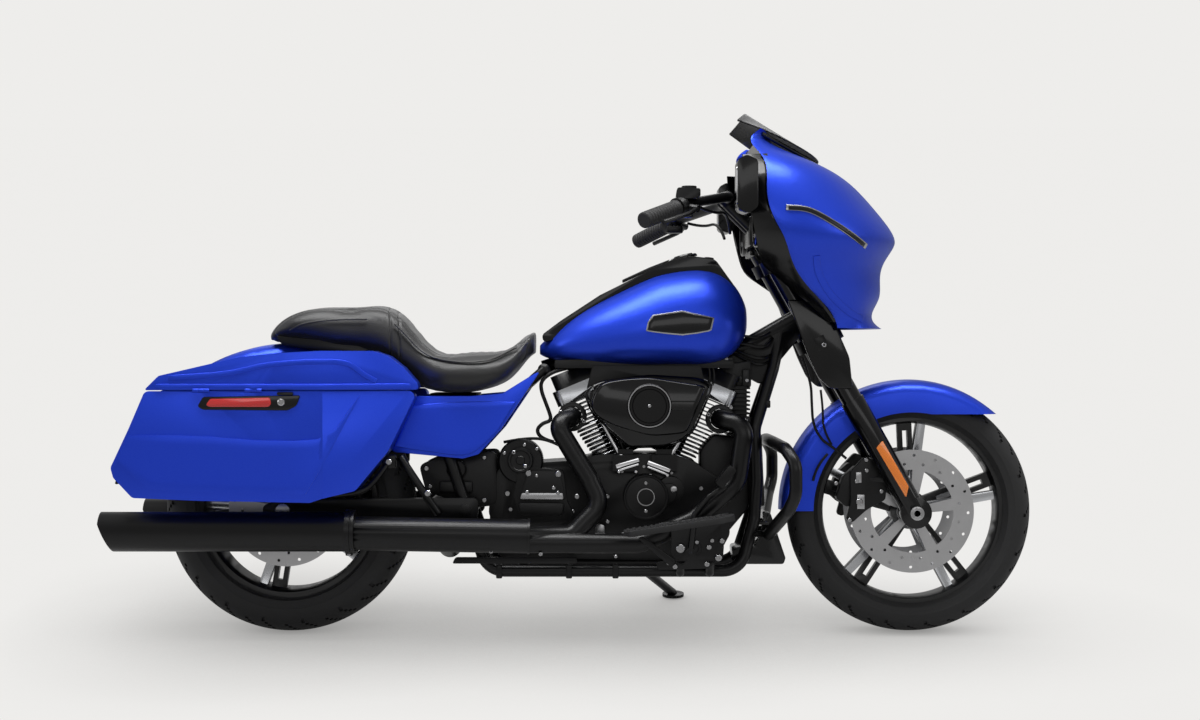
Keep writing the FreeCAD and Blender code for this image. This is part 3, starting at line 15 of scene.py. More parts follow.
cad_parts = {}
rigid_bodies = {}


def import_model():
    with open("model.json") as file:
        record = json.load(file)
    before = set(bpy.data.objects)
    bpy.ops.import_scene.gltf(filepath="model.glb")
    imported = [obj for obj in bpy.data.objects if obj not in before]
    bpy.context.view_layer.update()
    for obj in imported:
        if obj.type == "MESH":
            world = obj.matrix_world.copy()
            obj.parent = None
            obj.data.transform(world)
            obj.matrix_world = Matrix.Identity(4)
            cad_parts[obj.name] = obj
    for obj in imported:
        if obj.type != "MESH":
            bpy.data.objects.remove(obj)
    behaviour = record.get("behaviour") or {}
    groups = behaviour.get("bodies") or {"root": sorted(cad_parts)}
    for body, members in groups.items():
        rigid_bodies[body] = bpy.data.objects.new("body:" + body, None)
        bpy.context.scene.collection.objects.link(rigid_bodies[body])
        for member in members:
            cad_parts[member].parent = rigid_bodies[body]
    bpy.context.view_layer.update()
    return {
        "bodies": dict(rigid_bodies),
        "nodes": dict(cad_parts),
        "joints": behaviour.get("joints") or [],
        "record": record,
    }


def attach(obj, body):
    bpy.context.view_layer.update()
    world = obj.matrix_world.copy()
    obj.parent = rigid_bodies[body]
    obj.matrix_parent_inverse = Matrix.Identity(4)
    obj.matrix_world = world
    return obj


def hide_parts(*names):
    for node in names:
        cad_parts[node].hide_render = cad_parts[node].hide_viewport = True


LOG = logging.getLogger("motorcycle")
MILLIMETRE = 0.001
LEAN = math.radians(9.0)
# Where the upright machine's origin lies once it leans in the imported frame, in metres.
SHIFT = (0.06175, -0.163291, 0.002855)
FRONT_AXLE = Vector((812.5, 0.0, 320.0))
REAR_AXLE = Vector((-812.5, 0.0, 328.0))
# Signs of y for the machine's two sides, and directions that turned pieces face.
RIGHT, LEFT = -1, 1
SIDES = ((RIGHT, "right"), (LEFT, "left"))
TO_RIGHT, TO_LEFT, AHEAD = (0, -1, 0), (0, 1, 0), (1, 0, 0)
# A distance beside the machine that no piece reaches, in millimetres.
FAR_OFF = 900.0

Piece = bpy.types.Object
Point = Sequence[float]
Outline = Sequence[tuple[float, float]]
Triple = tuple[float, float, float]


class Body(Enum):
    """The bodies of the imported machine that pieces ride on."""

    CHASSIS = "chassis"
    FORK = "fork"
    FRONT_WHEEL = "front_wheel"
    REAR_WHEEL = "rear_wheel"
    SIDE_STAND = "side_stand"
    LID_RIGHT = "lid_right"
    LID_LEFT = "lid_left"
    FOOTBOARD_RIGHT = "footboard_right"
    FOOTBOARD_LEFT = "footboard_left"


class Socket:
    """A shader value that adds Math nodes when it is used in an expression."""

    def __init__(self, sheet: "ShaderSheet", link: bpy.types.NodeSocket) -> None:
        """Keep the sheet that the value is on and the socket it comes from."""
        self.sheet = sheet
        self.link = link

    def math(self, operation: str, *others: "Socket | float") -> "Socket":
        """Return the result of one Math node on this value and up to two others."""
        values = dict(enumerate((self, *others)))
        return self.sheet.add("ShaderNodeMath", {"operation": operation}, values)

    def __add__(self, other: "Socket | float") -> "Socket":
        """Return the sum."""
        return self.math("ADD", other)

    __radd__ = __add__

    def __sub__(self, other: "Socket | float") -> "Socket":
        """Return the difference."""
        return self.math("SUBTRACT", other)

    def __rsub__(self, other: float) -> "Socket":
        """Return a number less this value."""
        return self.sheet.add("ShaderNodeMath", {"operation": "SUBTRACT"}, {0: other, 1: self})

    def __mul__(self, other: "Socket | float") -> "Socket":
        """Return the product."""
        return self.math("MULTIPLY", other)

    __rmul__ = __mul__

    def __pow__(self, other: "Socket | float") -> "Socket":
        """Return this value to a power."""
        return self.math("POWER", other)

    def above(self, edge: float, soft: float) -> "Socket":
        """Return 0 below an edge and 1 above it, with a soft step between.

        Args:
            edge: The value in the middle of the step.
            soft: The width of the step.

        Returns:
            The mask.
        """
        settings = {"interpolation_type": "SMOOTHSTEP"}
        return self.sheet.add("ShaderNodeMapRange", settings, {
            0: self, 1: edge - soft / 2, 2: edge + soft / 2, 3: 0.0, 4: 1.0})


class ShaderSheet:
    """The node tree of a material or of the world, with one method that makes any node."""

    def __init__(self, name: str, world: bool = False) -> None:
        """Start an empty material, or world, with that name.

        Args:
            name: The name.
            world: Whether it is a world's.
        """
        self.owner = (bpy.data.worlds if world else bpy.data.materials).new(name)
        self.owner.use_nodes = True
        self.tree = self.owner.node_tree
        self.tree.nodes.clear()

    def add(self, kind: str, settings: dict | None = None, inputs: dict | None = None,
            output: int | str = 0) -> Socket | None:
        """Make a node.

        Args:
            kind: The node's type name.
            settings: Properties set before the sockets.
            inputs: Values or links by socket index or name.
            output: The output socket to hand back.

        Returns:
            The chosen output as a shader value, or None for an output node.
        """
        node = self.tree.nodes.new(kind)
        for key, value in (settings or {}).items():
            setattr(node, key, value)
        for key, value in (inputs or {}).items():
            if isinstance(value, Socket):
                self.tree.links.new(value.link, node.inputs[key])
            else:
                node.inputs[key].default_value = value
        return Socket(self, node.outputs[output]) if node.outputs else None

    def place(self, scale: Point = (1, 1, 1), upright: bool = True) -> Socket:
        """Return the surface's place for grain, turned upright but not shifted.

        Args:
            scale: How much denser the pattern is along each axis.
            upright: Whether the machine's lean is taken out.

        Returns:
            The place as a vector.
        """
        spot = self.add("ShaderNodeTexCoord", output="Object")
        turn = LEAN if upright else 0.0
        return self.add("ShaderNodeMapping", {}, {
            "Vector": spot, "Rotation": (turn, 0, 0), "Scale": scale})

    def upright(self) -> Socket:
        """Return the surface's place in metres on the upright machine.

        Returns:
            The place as a vector.
        """
        spot = self.add("ShaderNodeTexCoord", output="Object")
        shift = self.add("ShaderNodeVectorMath", {"operation": "SUBTRACT"}, {0: spot, 1: SHIFT})
        return self.add("ShaderNodeMapping", {}, {"Vector": shift, "Rotation": (LEAN, 0, 0)})

    def part(self, vector: Socket, axis: int) -> Socket:
        """Return one of a vector's three parts."""
        return self.add("ShaderNodeSeparateXYZ", {}, {0: vector}, axis)

    def sideways(self) -> Socket:
        """Return how squarely the surface faces either side of the upright machine.

        Returns:
            0 for a surface that faces elsewhere and 1 for one that faces a side.
        """
        normal = self.add("ShaderNodeTexCoord", output="Normal")
        turn = self.add("ShaderNodeMapping", {"vector_type": "NORMAL"}, {
            "Vector": normal, "Rotation": (LEAN, 0, 0)})
        return self.part(turn, 1).math("ABSOLUTE")

    def noise(self, spot: Socket, scale: float, detail: float = 2.0) -> Socket:
        """Return smooth random values over the surface."""
        return self.add("ShaderNodeTexNoise", {}, {
            "Vector": spot, "Scale": scale, "Detail": detail}, "Fac")

    def mix(self, factor: Socket | float, first: object, second: object) -> Socket:
        """Return a colour between two.

        Args:
            factor: 0 for the first colour and 1 for the second.
            first: A colour or a link.
            second: A colour or a link.

        Returns:
            The mixed colour.
        """
        ends = [(*end, 1.0) if isinstance(end, tuple) and len(end) == 3 else end
                for end in (first, second)]
        return self.add("ShaderNodeMix", {"data_type": "RGBA"}, {
            0: factor, 6: ends[0], 7: ends[1]}, 2)

    def bump(self, height: Socket, distance: float, strength: float = 1.0) -> Socket:
        """Return normals bent by a height."""
        return self.add("ShaderNodeBump", {}, {
            "Height": height, "Distance": distance, "Strength": strength})

    def finish(self, inputs: dict) -> bpy.types.Material:
        """Close the sheet with a Principled surface and return its material.

        Args:
            inputs: Values or links of the surface by socket name.

        Returns:
            The material.
        """
        surface = self.add("ShaderNodeBsdfPrincipled", {}, inputs)
        self.add("ShaderNodeOutputMaterial", {}, {"Surface": surface})
        return self.owner


@dataclass(frozen=True)
class Finish:
    """A finish with one ground colour and a fine, uneven surface.

    The grain is a bump, and the mottle changes colour and roughness slightly.
    """

    name: str
    slot: str
    colour: Triple
    roughness: float = 0.4
    metallic: float = 0.0
    coat: float = 0.0
    coat_roughness: float = 0.08
    grain_scale: float = 900.0
    grain_depth: float = 0.00002
    mottle: float = 0.12
    specular: float = 0.5
    alpha: float = 1.0

    def tint(self, share: float) -> Triple:
        """Return the ground colour made darker or brighter."""
        return tuple(min(1.0, value * share) for value in self.colour)

    def build(self) -> bpy.types.Material:
        """Return the finish as a material.

        Returns:
            The material.
        """
        sheet = ShaderSheet(self.name)
        spot = sheet.place()
        cloud = sheet.noise(spot, 14.0, 4.0)
        fine = sheet.noise(spot, self.grain_scale, 2.0)
        return sheet.finish({
            "Base Color": sheet.mix(cloud, self.tint(1 - self.mottle), self.tint(1 + self.mottle)),
            "Roughness": self.roughness * (0.9 + cloud * 0.2),
            "Metallic": self.metallic,
            "Coat Weight": self.coat,
            "Coat Roughness": self.coat_roughness,
            "Specular IOR Level": self.specular,
            "Alpha": self.alpha,
            "Normal": sheet.bump(fine, self.grain_depth),
        })


@dataclass(frozen=True)
class BrushedFinish(Finish):
    """A cut or turned metal, with fine lines and cloudy polish."""

    lines: Triple = (40.0, 900.0, 40.0)
    line_depth: float = 0.00001

    def build(self) -> bpy.types.Material:
        """Return the finish as a material.

        Returns:
            The material.
        """
        sheet = ShaderSheet(self.name)
        lines = sheet.noise(sheet.place(self.lines), 1.0, 3.0)
        cloud = sheet.noise(sheet.place(), 30.0, 3.0)
        return sheet.finish({
            "Base Color": sheet.mix(lines, self.tint(1 - self.mottle), self.colour),
            "Roughness": self.roughness * (0.8 + cloud * 0.4),
            "Metallic": self.metallic,
            "Normal": sheet.bump(lines, self.line_depth),
        })


@dataclass(frozen=True)
class PearlPaint(Finish):
    """The bodywork's satin metallic blue: fine flakes under a soft clear coat, with painted shade where
    the surface turns away from the camera.
    """

    # The painted shade colour that the paint darkens towards at grazing edges.
    shade: Triple = (0.004, 0.012, 0.16)

    def build(self) -> bpy.types.Material:
        """Return the paint as a material.

        Returns:
            The material.
        """
        sheet = ShaderSheet(self.name)
        spot = sheet.place()
        flakes = sheet.add("ShaderNodeTexVoronoi", {"feature": "F1"}, {
            "Vector": spot, "Scale": 1400.0}, "Color")
        spark = sheet.part(flakes, 0)
        # Painted shade: the colour darkens towards the shade colour where the surface turns away from
        # the camera.
        edge = sheet.add("ShaderNodeLayerWeight", {}, {"Blend": 0.35}, "Facing")
        edge_shaded = sheet.mix(edge * 0.8, self.colour, self.shade)
        return sheet.finish({
            "Base Color": sheet.mix(spark * 0.12, edge_shaded, (0.10, 0.22, 1.0)),
            "Specular Tint": (0.36, 0.50, 1.0, 1.0),
            "Roughness": self.roughness + spark * 0.06,
            "Metallic": self.metallic,
            "Coat Weight": self.coat,
            "Coat Roughness": self.coat_roughness,
            "Normal": sheet.bump(sheet.noise(spot, 500.0, 2.0), 0.00001),
        })


@dataclass(frozen=True)
class RubberFinish(Finish):
    """Tyre rubber with a faint bloom and fine mould lines."""

    def build(self) -> bpy.types.Material:
        """Return the finish as a material.

        Returns:
            The material.
        """
        sheet = ShaderSheet(self.name)
        spot = sheet.place()
        bloom = sheet.noise(spot, 9.0, 5.0)
        return sheet.finish({
            "Base Color": sheet.mix(bloom, self.colour, self.tint(1.8)),
            "Roughness": self.roughness + bloom * 0.15,
            "Normal": sheet.bump(sheet.noise(spot, 700.0, 3.0), self.grain_depth),
        })


@dataclass(frozen=True)
class VinylFinish(Finish):
    """Saddle vinyl with a pebbled grain."""

    def build(self) -> bpy.types.Material:
        """Return the finish as a material.

        Returns:
            The material.
        """
        sheet = ShaderSheet(self.name)
        spot = sheet.place()
        pebble = sheet.add("ShaderNodeTexVoronoi", {"feature": "SMOOTH_F1"}, {
            "Vector": spot, "Scale": 420.0, "Smoothness": 0.6}, "Distance")
        worn = sheet.noise(spot, 7.0, 4.0)
        return sheet.finish({
            "Base Color": sheet.mix(worn, self.colour, self.tint(1.5)),
            "Roughness": self.roughness + worn * 0.12 - pebble * 0.1,
            "Sheen Weight": 0.15,
            "Normal": sheet.bump(pebble, 0.0004, 0.7),
        })


@dataclass(frozen=True)
class LensFinish(Finish):
    """A moulded lens whose back shows fine square prisms."""

    prism: float = 260.0
    depth: float = 0.0006
    transmission: float = 0.0
    # Emission strength: the red lamps' own light, and a painted glow on the amber reflector.
    glow: float = 0.0

    def build(self) -> bpy.types.Material:
        """Return the finish as a material.

        Returns:
            The material.
        """
        sheet = ShaderSheet(self.name)
        spot = sheet.place()
        prisms = sheet.add("ShaderNodeTexChecker", {}, {"Vector": spot, "Scale": self.prism}, "Fac")
        hazy = sheet.noise(spot, 60.0, 2.0)
        pale = tuple(min(1.0, value * 1.35 + 0.01) for value in self.colour)
        return sheet.finish({
            "Base Color": sheet.mix(prisms * 0.5 + hazy * 0.3, self.colour, pale),
            "Roughness": self.roughness + hazy * 0.05,
            "Transmission Weight": self.transmission,
            "Coat Weight": 1.0,
            "Emission Color": (*self.colour, 1.0),
            "Emission Strength": self.glow,
            "Normal": sheet.bump(prisms, self.depth, 0.4),
        })


@dataclass(frozen=True)
class WheelFinish(Finish):
    """A black cast wheel with bright cut spoke faces and a bright ring at the rim's edge."""

    axle: Triple = (0.0, 0.0, 0.0)
    spoke_face: float = 0.0155
    spoke_end: float = 0.232
    ring_start: float = 0.2465
    bright: Triple = (0.55, 0.56, 0.58)

    def build(self) -> bpy.types.Material:
        """Return the finish as a material.

        Returns:
            The material.
        """
        sheet = ShaderSheet(self.name)
        spot = sheet.upright()
        side, up, along = (sheet.part(spot, axis) for axis in (1, 2, 0))
        across, rise = along - self.axle[0], up - self.axle[2]
        reach = (across * across + rise * rise) ** 0.5
        raised = side.math("ABSOLUTE").above(self.spoke_face, 0.001)
        spokes = raised * (1 - reach.above(self.spoke_end, 0.003))
        ring = reach.above(self.ring_start, 0.001)
        cut = sheet.sideways().above(0.93, 0.03) * spokes.math("MAXIMUM", ring)
        lines = sheet.noise(sheet.place((500.0, 500.0, 500.0)), 1.0, 2.0)
        return sheet.finish({
            "Base Color": sheet.mix(cut, self.colour, self.bright),
            "Roughness": self.roughness - cut * (self.roughness - 0.16) + lines * 0.06,
            "Metallic": cut * 0.95,
            "Normal": sheet.bump(lines, 0.00001),
        })


@dataclass(frozen=True)
class FinFinish(Finish):
    """Black cooling fins with bright cut edges."""

    bright: Triple = (0.46, 0.47, 0.49)
    start: float = 0.05

    def build(self) -> bpy.types.Material:
        """Return the finish as a material.

        Returns:
            The material.
        """
        sheet = ShaderSheet(self.name)
        side = sheet.part(sheet.upright(), 1)
        cut = (sheet.sideways().above(0.5, 0.3)
               * side.math("ABSOLUTE").above(self.start, 0.001))
        grain = sheet.noise(sheet.place(), self.grain_scale, 2.0)
        return sheet.finish({
            "Base Color": sheet.mix(cut, self.colour, self.bright),
            "Roughness": self.roughness - cut * 0.2,
            "Metallic": cut * 0.95,
            "Normal": sheet.bump(grain, self.grain_depth),
        })


BLACK = (0.002, 0.002, 0.0024)
CAST_BLACK = (0.003, 0.003, 0.0034)
RUBBER_BLACK = (0.007, 0.007, 0.0075)

FINISHES = (
    PearlPaint("satin_blue", "blue_paint", (0.014, 0.056, 0.74), roughness=0.32, metallic=0.5,
               coat=0.12, coat_roughness=0.3),
    Finish("gloss_black", "gloss_black", BLACK, roughness=0.2, coat=0.3, grain_scale=600.0,
           grain_depth=0.000006, specular=0.22),
    Finish("satin_black", "satin_black", BLACK, roughness=0.36, coat=0.1, coat_roughness=0.25,
           specular=0.24),
    Finish("wrinkle_black", "cast_black", CAST_BLACK, roughness=0.42, coat=0.08,
           coat_roughness=0.3, grain_scale=1500.0, grain_depth=0.00005, specular=0.26),
    WheelFinish("front_wheel_cut", "cast_black", CAST_BLACK, roughness=0.32,
                axle=tuple(FRONT_AXLE * MILLIMETRE)),
    WheelFinish("rear_wheel_cut", "cast_black", CAST_BLACK, roughness=0.32,
                axle=tuple(REAR_AXLE * MILLIMETRE), spoke_end=0.220, ring_start=0.2345),
    FinFinish("fin_black", "cast_black", BLACK, roughness=0.45, start=0.0808),
    BrushedFinish("cast_silver", "cast_silver", (0.55, 0.55, 0.57), roughness=0.34, metallic=0.9),
    BrushedFinish("bright_chrome", "bright_chrome", (0.82, 0.82, 0.84), roughness=0.07,
                  metallic=1.0, mottle=0.03, line_depth=0.000001),
    BrushedFinish("steel", "steel", (0.42, 0.42, 0.43), roughness=0.27, metallic=1.0),
    BrushedFinish("disc_steel", "steel", (0.54, 0.54, 0.55), roughness=0.3, metallic=1.0,
                  lines=(500.0, 500.0, 500.0)),
    RubberFinish("tyre_rubber", "tyre_rubber", RUBBER_BLACK, roughness=0.62, grain_depth=0.00003),
    RubberFinish("grip_rubber", "grip_rubber", RUBBER_BLACK, roughness=0.6, grain_depth=0.00005),
    VinylFinish("seat_vinyl", "seat_vinyl", (0.008, 0.008, 0.0085), roughness=0.44),
    Finish("smoked_screen", "smoked_screen", (0.010, 0.010, 0.011), roughness=0.3,
           coat_roughness=0.05, grain_scale=300.0, grain_depth=0.000002, mottle=0.05,
           specular=0.05, alpha=0.86),
    LensFinish("lamp_glass", "lamp_glass", (0.75, 0.77, 0.8), roughness=0.04, transmission=0.7),
    LensFinish("red_lens", "red_lens", (0.50, 0.008, 0.008), roughness=0.14, glow=0.15),
    # The amber reflector's glow is painted light: a reflector has no lamp behind it.
    LensFinish("amber_reflector_painted_glow", "red_lens", (0.85, 0.20, 0.01), roughness=0.16, glow=0.12),
)


class Palette:
    """The finishes as materials, each built once and handed out by name."""

    def __init__(self) -> None:
        """Build every finish."""
        self.finishes = {finish.name: finish for finish in FINISHES}
        self.materials = {finish.name: finish.build() for finish in FINISHES}

    def dress(self, piece: Piece, name: str) -> None:
        """Give a piece its material.

        Args:
            piece: The finished piece.
            name: The name of its finish.
        """
        piece.data.materials.clear()
        piece.data.materials.append(self.materials[name])


def rounded(outline: Sequence[Point], radius: float, steps: int = 4) -> list[tuple[float, float]]:
    """Return a side outline with each corner turned into a short curve.

    Args:
        outline: The corners, in order.
        radius: How far from a corner its curve starts.
        steps: The number of steps in each curve.

    Returns:
        The points of the curved outline.
    """
    points = []
    for index, corner in enumerate(outline):
        here = Vector(corner)
        before, after = Vector(outline[index - 1]), Vector(outline[(index + 1) % len(outline)])
        start = here + (before - here).normalized() * min(radius, (before - here).length * 0.45)
        end = here + (after - here).normalized() * min(radius, (after - here).length * 0.45)
        for step in range(steps + 1):
            share = step / steps
            points.append(tuple(start * (1 - share) ** 2 + here * 2 * share * (1 - share)
                                + end * share ** 2))
    return points


def scaled(outline: Sequence[Point], share: float) -> list[tuple[float, float]]:
    """Return a side outline drawn in or out about the middle of its box.

    Args:
        outline: The corners, in order.
        share: The new size over the old one.

    Returns:
        The corners of the scaled outline.
    """
    middle = Vector([(min(p[axis] for p in outline) + max(p[axis] for p in outline)) / 2
                     for axis in (0, 1)])
    return [tuple(middle + (Vector(point) - middle) * share) for point in outline]


def curved(points: Sequence[Point], steps: int = 6) -> list[Vector]:
    """Return points along a smooth line through the given ones.

    Args:
        points: The points to pass through.
        steps: The number of steps between two of them.

    Returns:
        The points of the line.
    """
    knots = [Vector(point) for point in points]
    line = []
    for index in range(len(knots) - 1):
        first, second = knots[max(index - 1, 0)], knots[index]
        third, fourth = knots[index + 1], knots[min(index + 2, len(knots) - 1)]
        for step in range(steps):
            t = step / steps
            line.append(0.5 * (second * 2 + (third - first) * t
                               + (first * 2 - second * 5 + third * 4 - fourth) * t ** 2
                               + (second * 3 - first - third * 3 + fourth) * t ** 3))
    return line + [knots[-1]]


class Workbench:
    """Models pieces with Blender's own tools, upright and in millimetres, then leans them."""

    # How deep a panel's back is sunk into the surface it lies on.
    SINK = 0.6

    def __init__(self, record: dict, palette: Palette, nodes: dict) -> None:
        """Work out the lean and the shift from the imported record's axle bore.

        Args:
            record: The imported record.
            palette: The finishes.
            nodes: The CAD nodes by name.
        """
        self.nodes = nodes
        self.targets: list[Piece] = []
        bore = next(mount for mount in record["mounts"] if mount["name"] == "front_axle_bore")
        lean = Matrix.Rotation(-LEAN, 4, "X")
        shift = Vector(bore["pos_m"]) - lean @ (FRONT_AXLE * MILLIMETRE)
        self.lean = Matrix.Translation(shift) @ lean @ Matrix.Scale(MILLIMETRE, 4)
        self.palette = palette

    def clear(self) -> None:
        """Select nothing."""
        bpy.ops.object.select_all(action="DESELECT")

    def pick(self, *pieces: Piece) -> Piece:
        """Select only these pieces and make the first active.

        Args:
            pieces: The pieces, the active one first.

        Returns:
            The active piece.
        """
        self.clear()
        for piece in pieces:
            piece.select_set(True)
        bpy.context.view_layer.objects.active = pieces[0]
        return pieces[0]

    def place(self, point: Point) -> Vector:
        """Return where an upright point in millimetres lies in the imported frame, in metres."""
        return self.lean @ Vector(point)

    def apply(self, piece: Piece, kind: str, **settings: object) -> Piece:
        """Add a modifier with its settings and apply it.

        Args:
            piece: The piece to change.
            kind: The modifier's type name.
            settings: Its properties.

        Returns:
            The piece.
        """
        self.pick(piece)
        modifier = piece.modifiers.new(kind.title(), kind)
        for key, value in settings.items():
            setattr(modifier, key, value)
        bpy.ops.object.modifier_apply(modifier=modifier.name)
        return piece

    def join(self, pieces: Sequence[Piece]) -> Piece:
        """Join pieces into the first.

        Args:
            pieces: The pieces to join.

        Returns:
            The joined piece.
        """
        first = self.pick(*pieces)
        if len(pieces) > 1:
            bpy.ops.object.join()
        return first

    def edit(self, piece: Piece, *steps: Callable[[], object]) -> Piece:
        """Run operators in edit mode with everything selected.

        Args:
            piece: The piece to change.
            steps: The operators, in order.

        Returns:
            The piece.
        """
        self.pick(piece)
        bpy.ops.object.mode_set(mode="EDIT")
        bpy.ops.mesh.select_all(action="SELECT")
        for step in steps:
            step()
        bpy.ops.object.mode_set(mode="OBJECT")
        return piece

    def cylinder(self, start: Point, end: Point, radius: float, bevel: float = 0.0,
                 sides: int = 24) -> Piece:
        """Return a round bar between two points, its ends softened by the bevel.

        Args:
            start: The middle of one end.
            end: The middle of the other.
            radius: The bar's radius.
            bevel: The width of its bevel.
            sides: The number of faces round it.

        Returns:
            The bar.
        """
        self.clear()
        first, last = Vector(start), Vector(end)
        along = last - first
        bpy.ops.mesh.primitive_cone_add(
            vertices=sides, radius1=radius, radius2=radius, depth=along.length,
            location=(first + last) / 2, rotation=along.to_track_quat("Z", "Y").to_euler())
        piece = bpy.context.object
        self.freeze(piece)
        if bevel:
            self.apply(piece, "BEVEL", width=bevel, segments=2, limit_method="ANGLE",
                       angle_limit=math.radians(50))
        return piece

    def block(self, corner: Point, opposite: Point, bevel: float) -> Piece:
        """Return a box between two opposite corners with rounded edges.

        Args:
            corner: One corner.
            opposite: The corner across from it.
            bevel: The width of the bevel.

        Returns:
            The box.
        """
        self.clear()
        first, last = Vector(map(min, corner, opposite)), Vector(map(max, corner, opposite))
        bpy.ops.mesh.primitive_cube_add(size=1, location=(first + last) / 2, scale=last - first)
        piece = bpy.context.object
        self.freeze(piece)
        return self.apply(piece, "BEVEL", width=bevel, segments=2)

    def freeze(self, piece: Piece) -> None:
        """Move the piece's own place into its mesh."""
        self.pick(piece)
        bpy.ops.object.transform_apply(location=True, rotation=True, scale=True)

    def wire(self, points: Sequence[Point], radius: float, rings: int = 4) -> Piece:
        """Return a round tube led smoothly by points, as a mesh with closed ends.

        Args:
            points: The points that lead the tube.
            radius: Its radius.
            rings: How finely its section is divided.

        Returns:
            The tube.
        """
        self.clear()
        bpy.ops.curve.primitive_nurbs_path_add(radius=1)
        piece = bpy.context.object
        curve = piece.data
        curve.splines.clear()
        spline = curve.splines.new("NURBS")
        spline.points.add(len(points) - 1)
        for target, point in zip(spline.points, points):
            target.co = (*point, 1.0)
        spline.order_u = 3
        spline.use_endpoint_u = True
        curve.dimensions = "3D"
        curve.bevel_depth = radius
        curve.bevel_resolution = rings
        curve.resolution_u = 8
        curve.use_fill_caps = True
        self.pick(piece)
        bpy.ops.object.convert(target="MESH")
        return bpy.context.object

    def ring_from(self, points: Sequence[Point]) -> Piece:
        """Return a closed loop of edges through points.

        Args:
            points: The points, in order.

        Returns:
            The loop.
        """
        self.clear()
        bpy.ops.mesh.primitive_circle_add(vertices=len(points), radius=1)
        piece = bpy.context.object
        for vertex, point in zip(piece.data.vertices, points):
            vertex.co = Vector(point)
        return piece

    def loft(self, sections: Sequence[Sequence[Point]]) -> Piece:
        """Return a closed skin bridged through loops of the same count of points.

        Args:
            sections: The loops, from one end to the other.

        Returns:
            The skin.
        """
        piece = self.join([self.ring_from(section) for section in sections])
        self.edit(piece, lambda: bpy.ops.mesh.bridge_edge_loops(type="SINGLE", use_merge=False))
        self.edit(piece, lambda: bpy.ops.mesh.select_all(action="DESELECT"),
                  lambda: bpy.ops.mesh.select_non_manifold(),
                  lambda: bpy.ops.mesh.edge_face_add())
        return self.edit(piece, lambda: bpy.ops.mesh.normals_make_consistent(inside=False))

    def plate(self, outline: Outline, near: float, far: float, bevel: float,
              segments: int = 2) -> Piece:
        """Return a plate with a side outline of x and z between two y values.

        Args:
            outline: The corners in x and z.
            near: The y of one face.
            far: The y of the other.
            bevel: The width of the bevel.
            segments: The steps across the bevel.

        Returns:
            The plate.
        """
        piece = self.ring_from([(x, near, z) for x, z in outline])
        self.edit(piece, lambda: bpy.ops.mesh.edge_face_add(),
                  lambda: bpy.ops.mesh.extrude_region_move(
                      TRANSFORM_OT_translate={"value": (0, far - near, 0)}),
                  lambda: bpy.ops.mesh.select_all(action="SELECT"),
                  lambda: bpy.ops.mesh.normals_make_consistent(inside=False))
        return self.apply(piece, "BEVEL", width=bevel, segments=segments, limit_method="ANGLE",
                          angle_limit=math.radians(28))

    def slab(self, outline: Outline, radius: float, near: float, far: float, bevel: float,
             segments: int = 2) -> Piece:
        """Return a plate whose outline has curved corners."""
        return self.plate(rounded(outline, radius), near, far, bevel, segments)

    def lathe(self, profile: Outline, centre: Point, steps: int, axis: Point = TO_LEFT) -> Piece:
        """Return a turned form.

        Args:
            profile: Pairs of the place along the axis and the radius, round the section.
            centre: A point on the axis.
            steps: The number of steps round.
            axis: The direction of the axis.

        Returns:
            The form as a mesh.
        """
        self.clear()
        middle, along = Vector(centre), Vector(axis).normalized()
        across = along.orthogonal().normalized()
        bpy.ops.mesh.primitive_circle_add(vertices=len(profile), radius=1)
        piece = bpy.context.object
        for vertex, (reach, radius) in zip(piece.data.vertices, profile):
            vertex.co = middle + along * reach + across * radius
        return self.edit(
            piece,
            lambda: bpy.ops.mesh.spin(steps=steps, angle=math.tau, center=middle, axis=along,
                                      use_auto_merge=True),
            lambda: bpy.ops.mesh.select_all(action="SELECT"),
            lambda: bpy.ops.mesh.remove_doubles(threshold=0.01),
            lambda: bpy.ops.mesh.normals_make_consistent(inside=False))

    def upright_copy(self, *nodes: str) -> Piece:
        """Return CAD nodes joined as an upright target to lay panels on, kept out of renders.

        Args:
            nodes: The names of the nodes.

        Returns:
            The target.
        """
        made = []
        for node in nodes:
            twin = bpy.data.objects.new("target", self.nodes[node].data.copy())
            bpy.context.scene.collection.objects.link(twin)
            twin.data.transform(self.lean.inverted())
            made.append(twin)
        target = self.join(made)
        target.hide_render = True
        self.targets.append(target)
        return target

    def sweep_up(self) -> None:
        """Remove the targets once every panel is laid."""
        for target in self.targets:
            bpy.data.objects.remove(target)
        self.targets.clear()

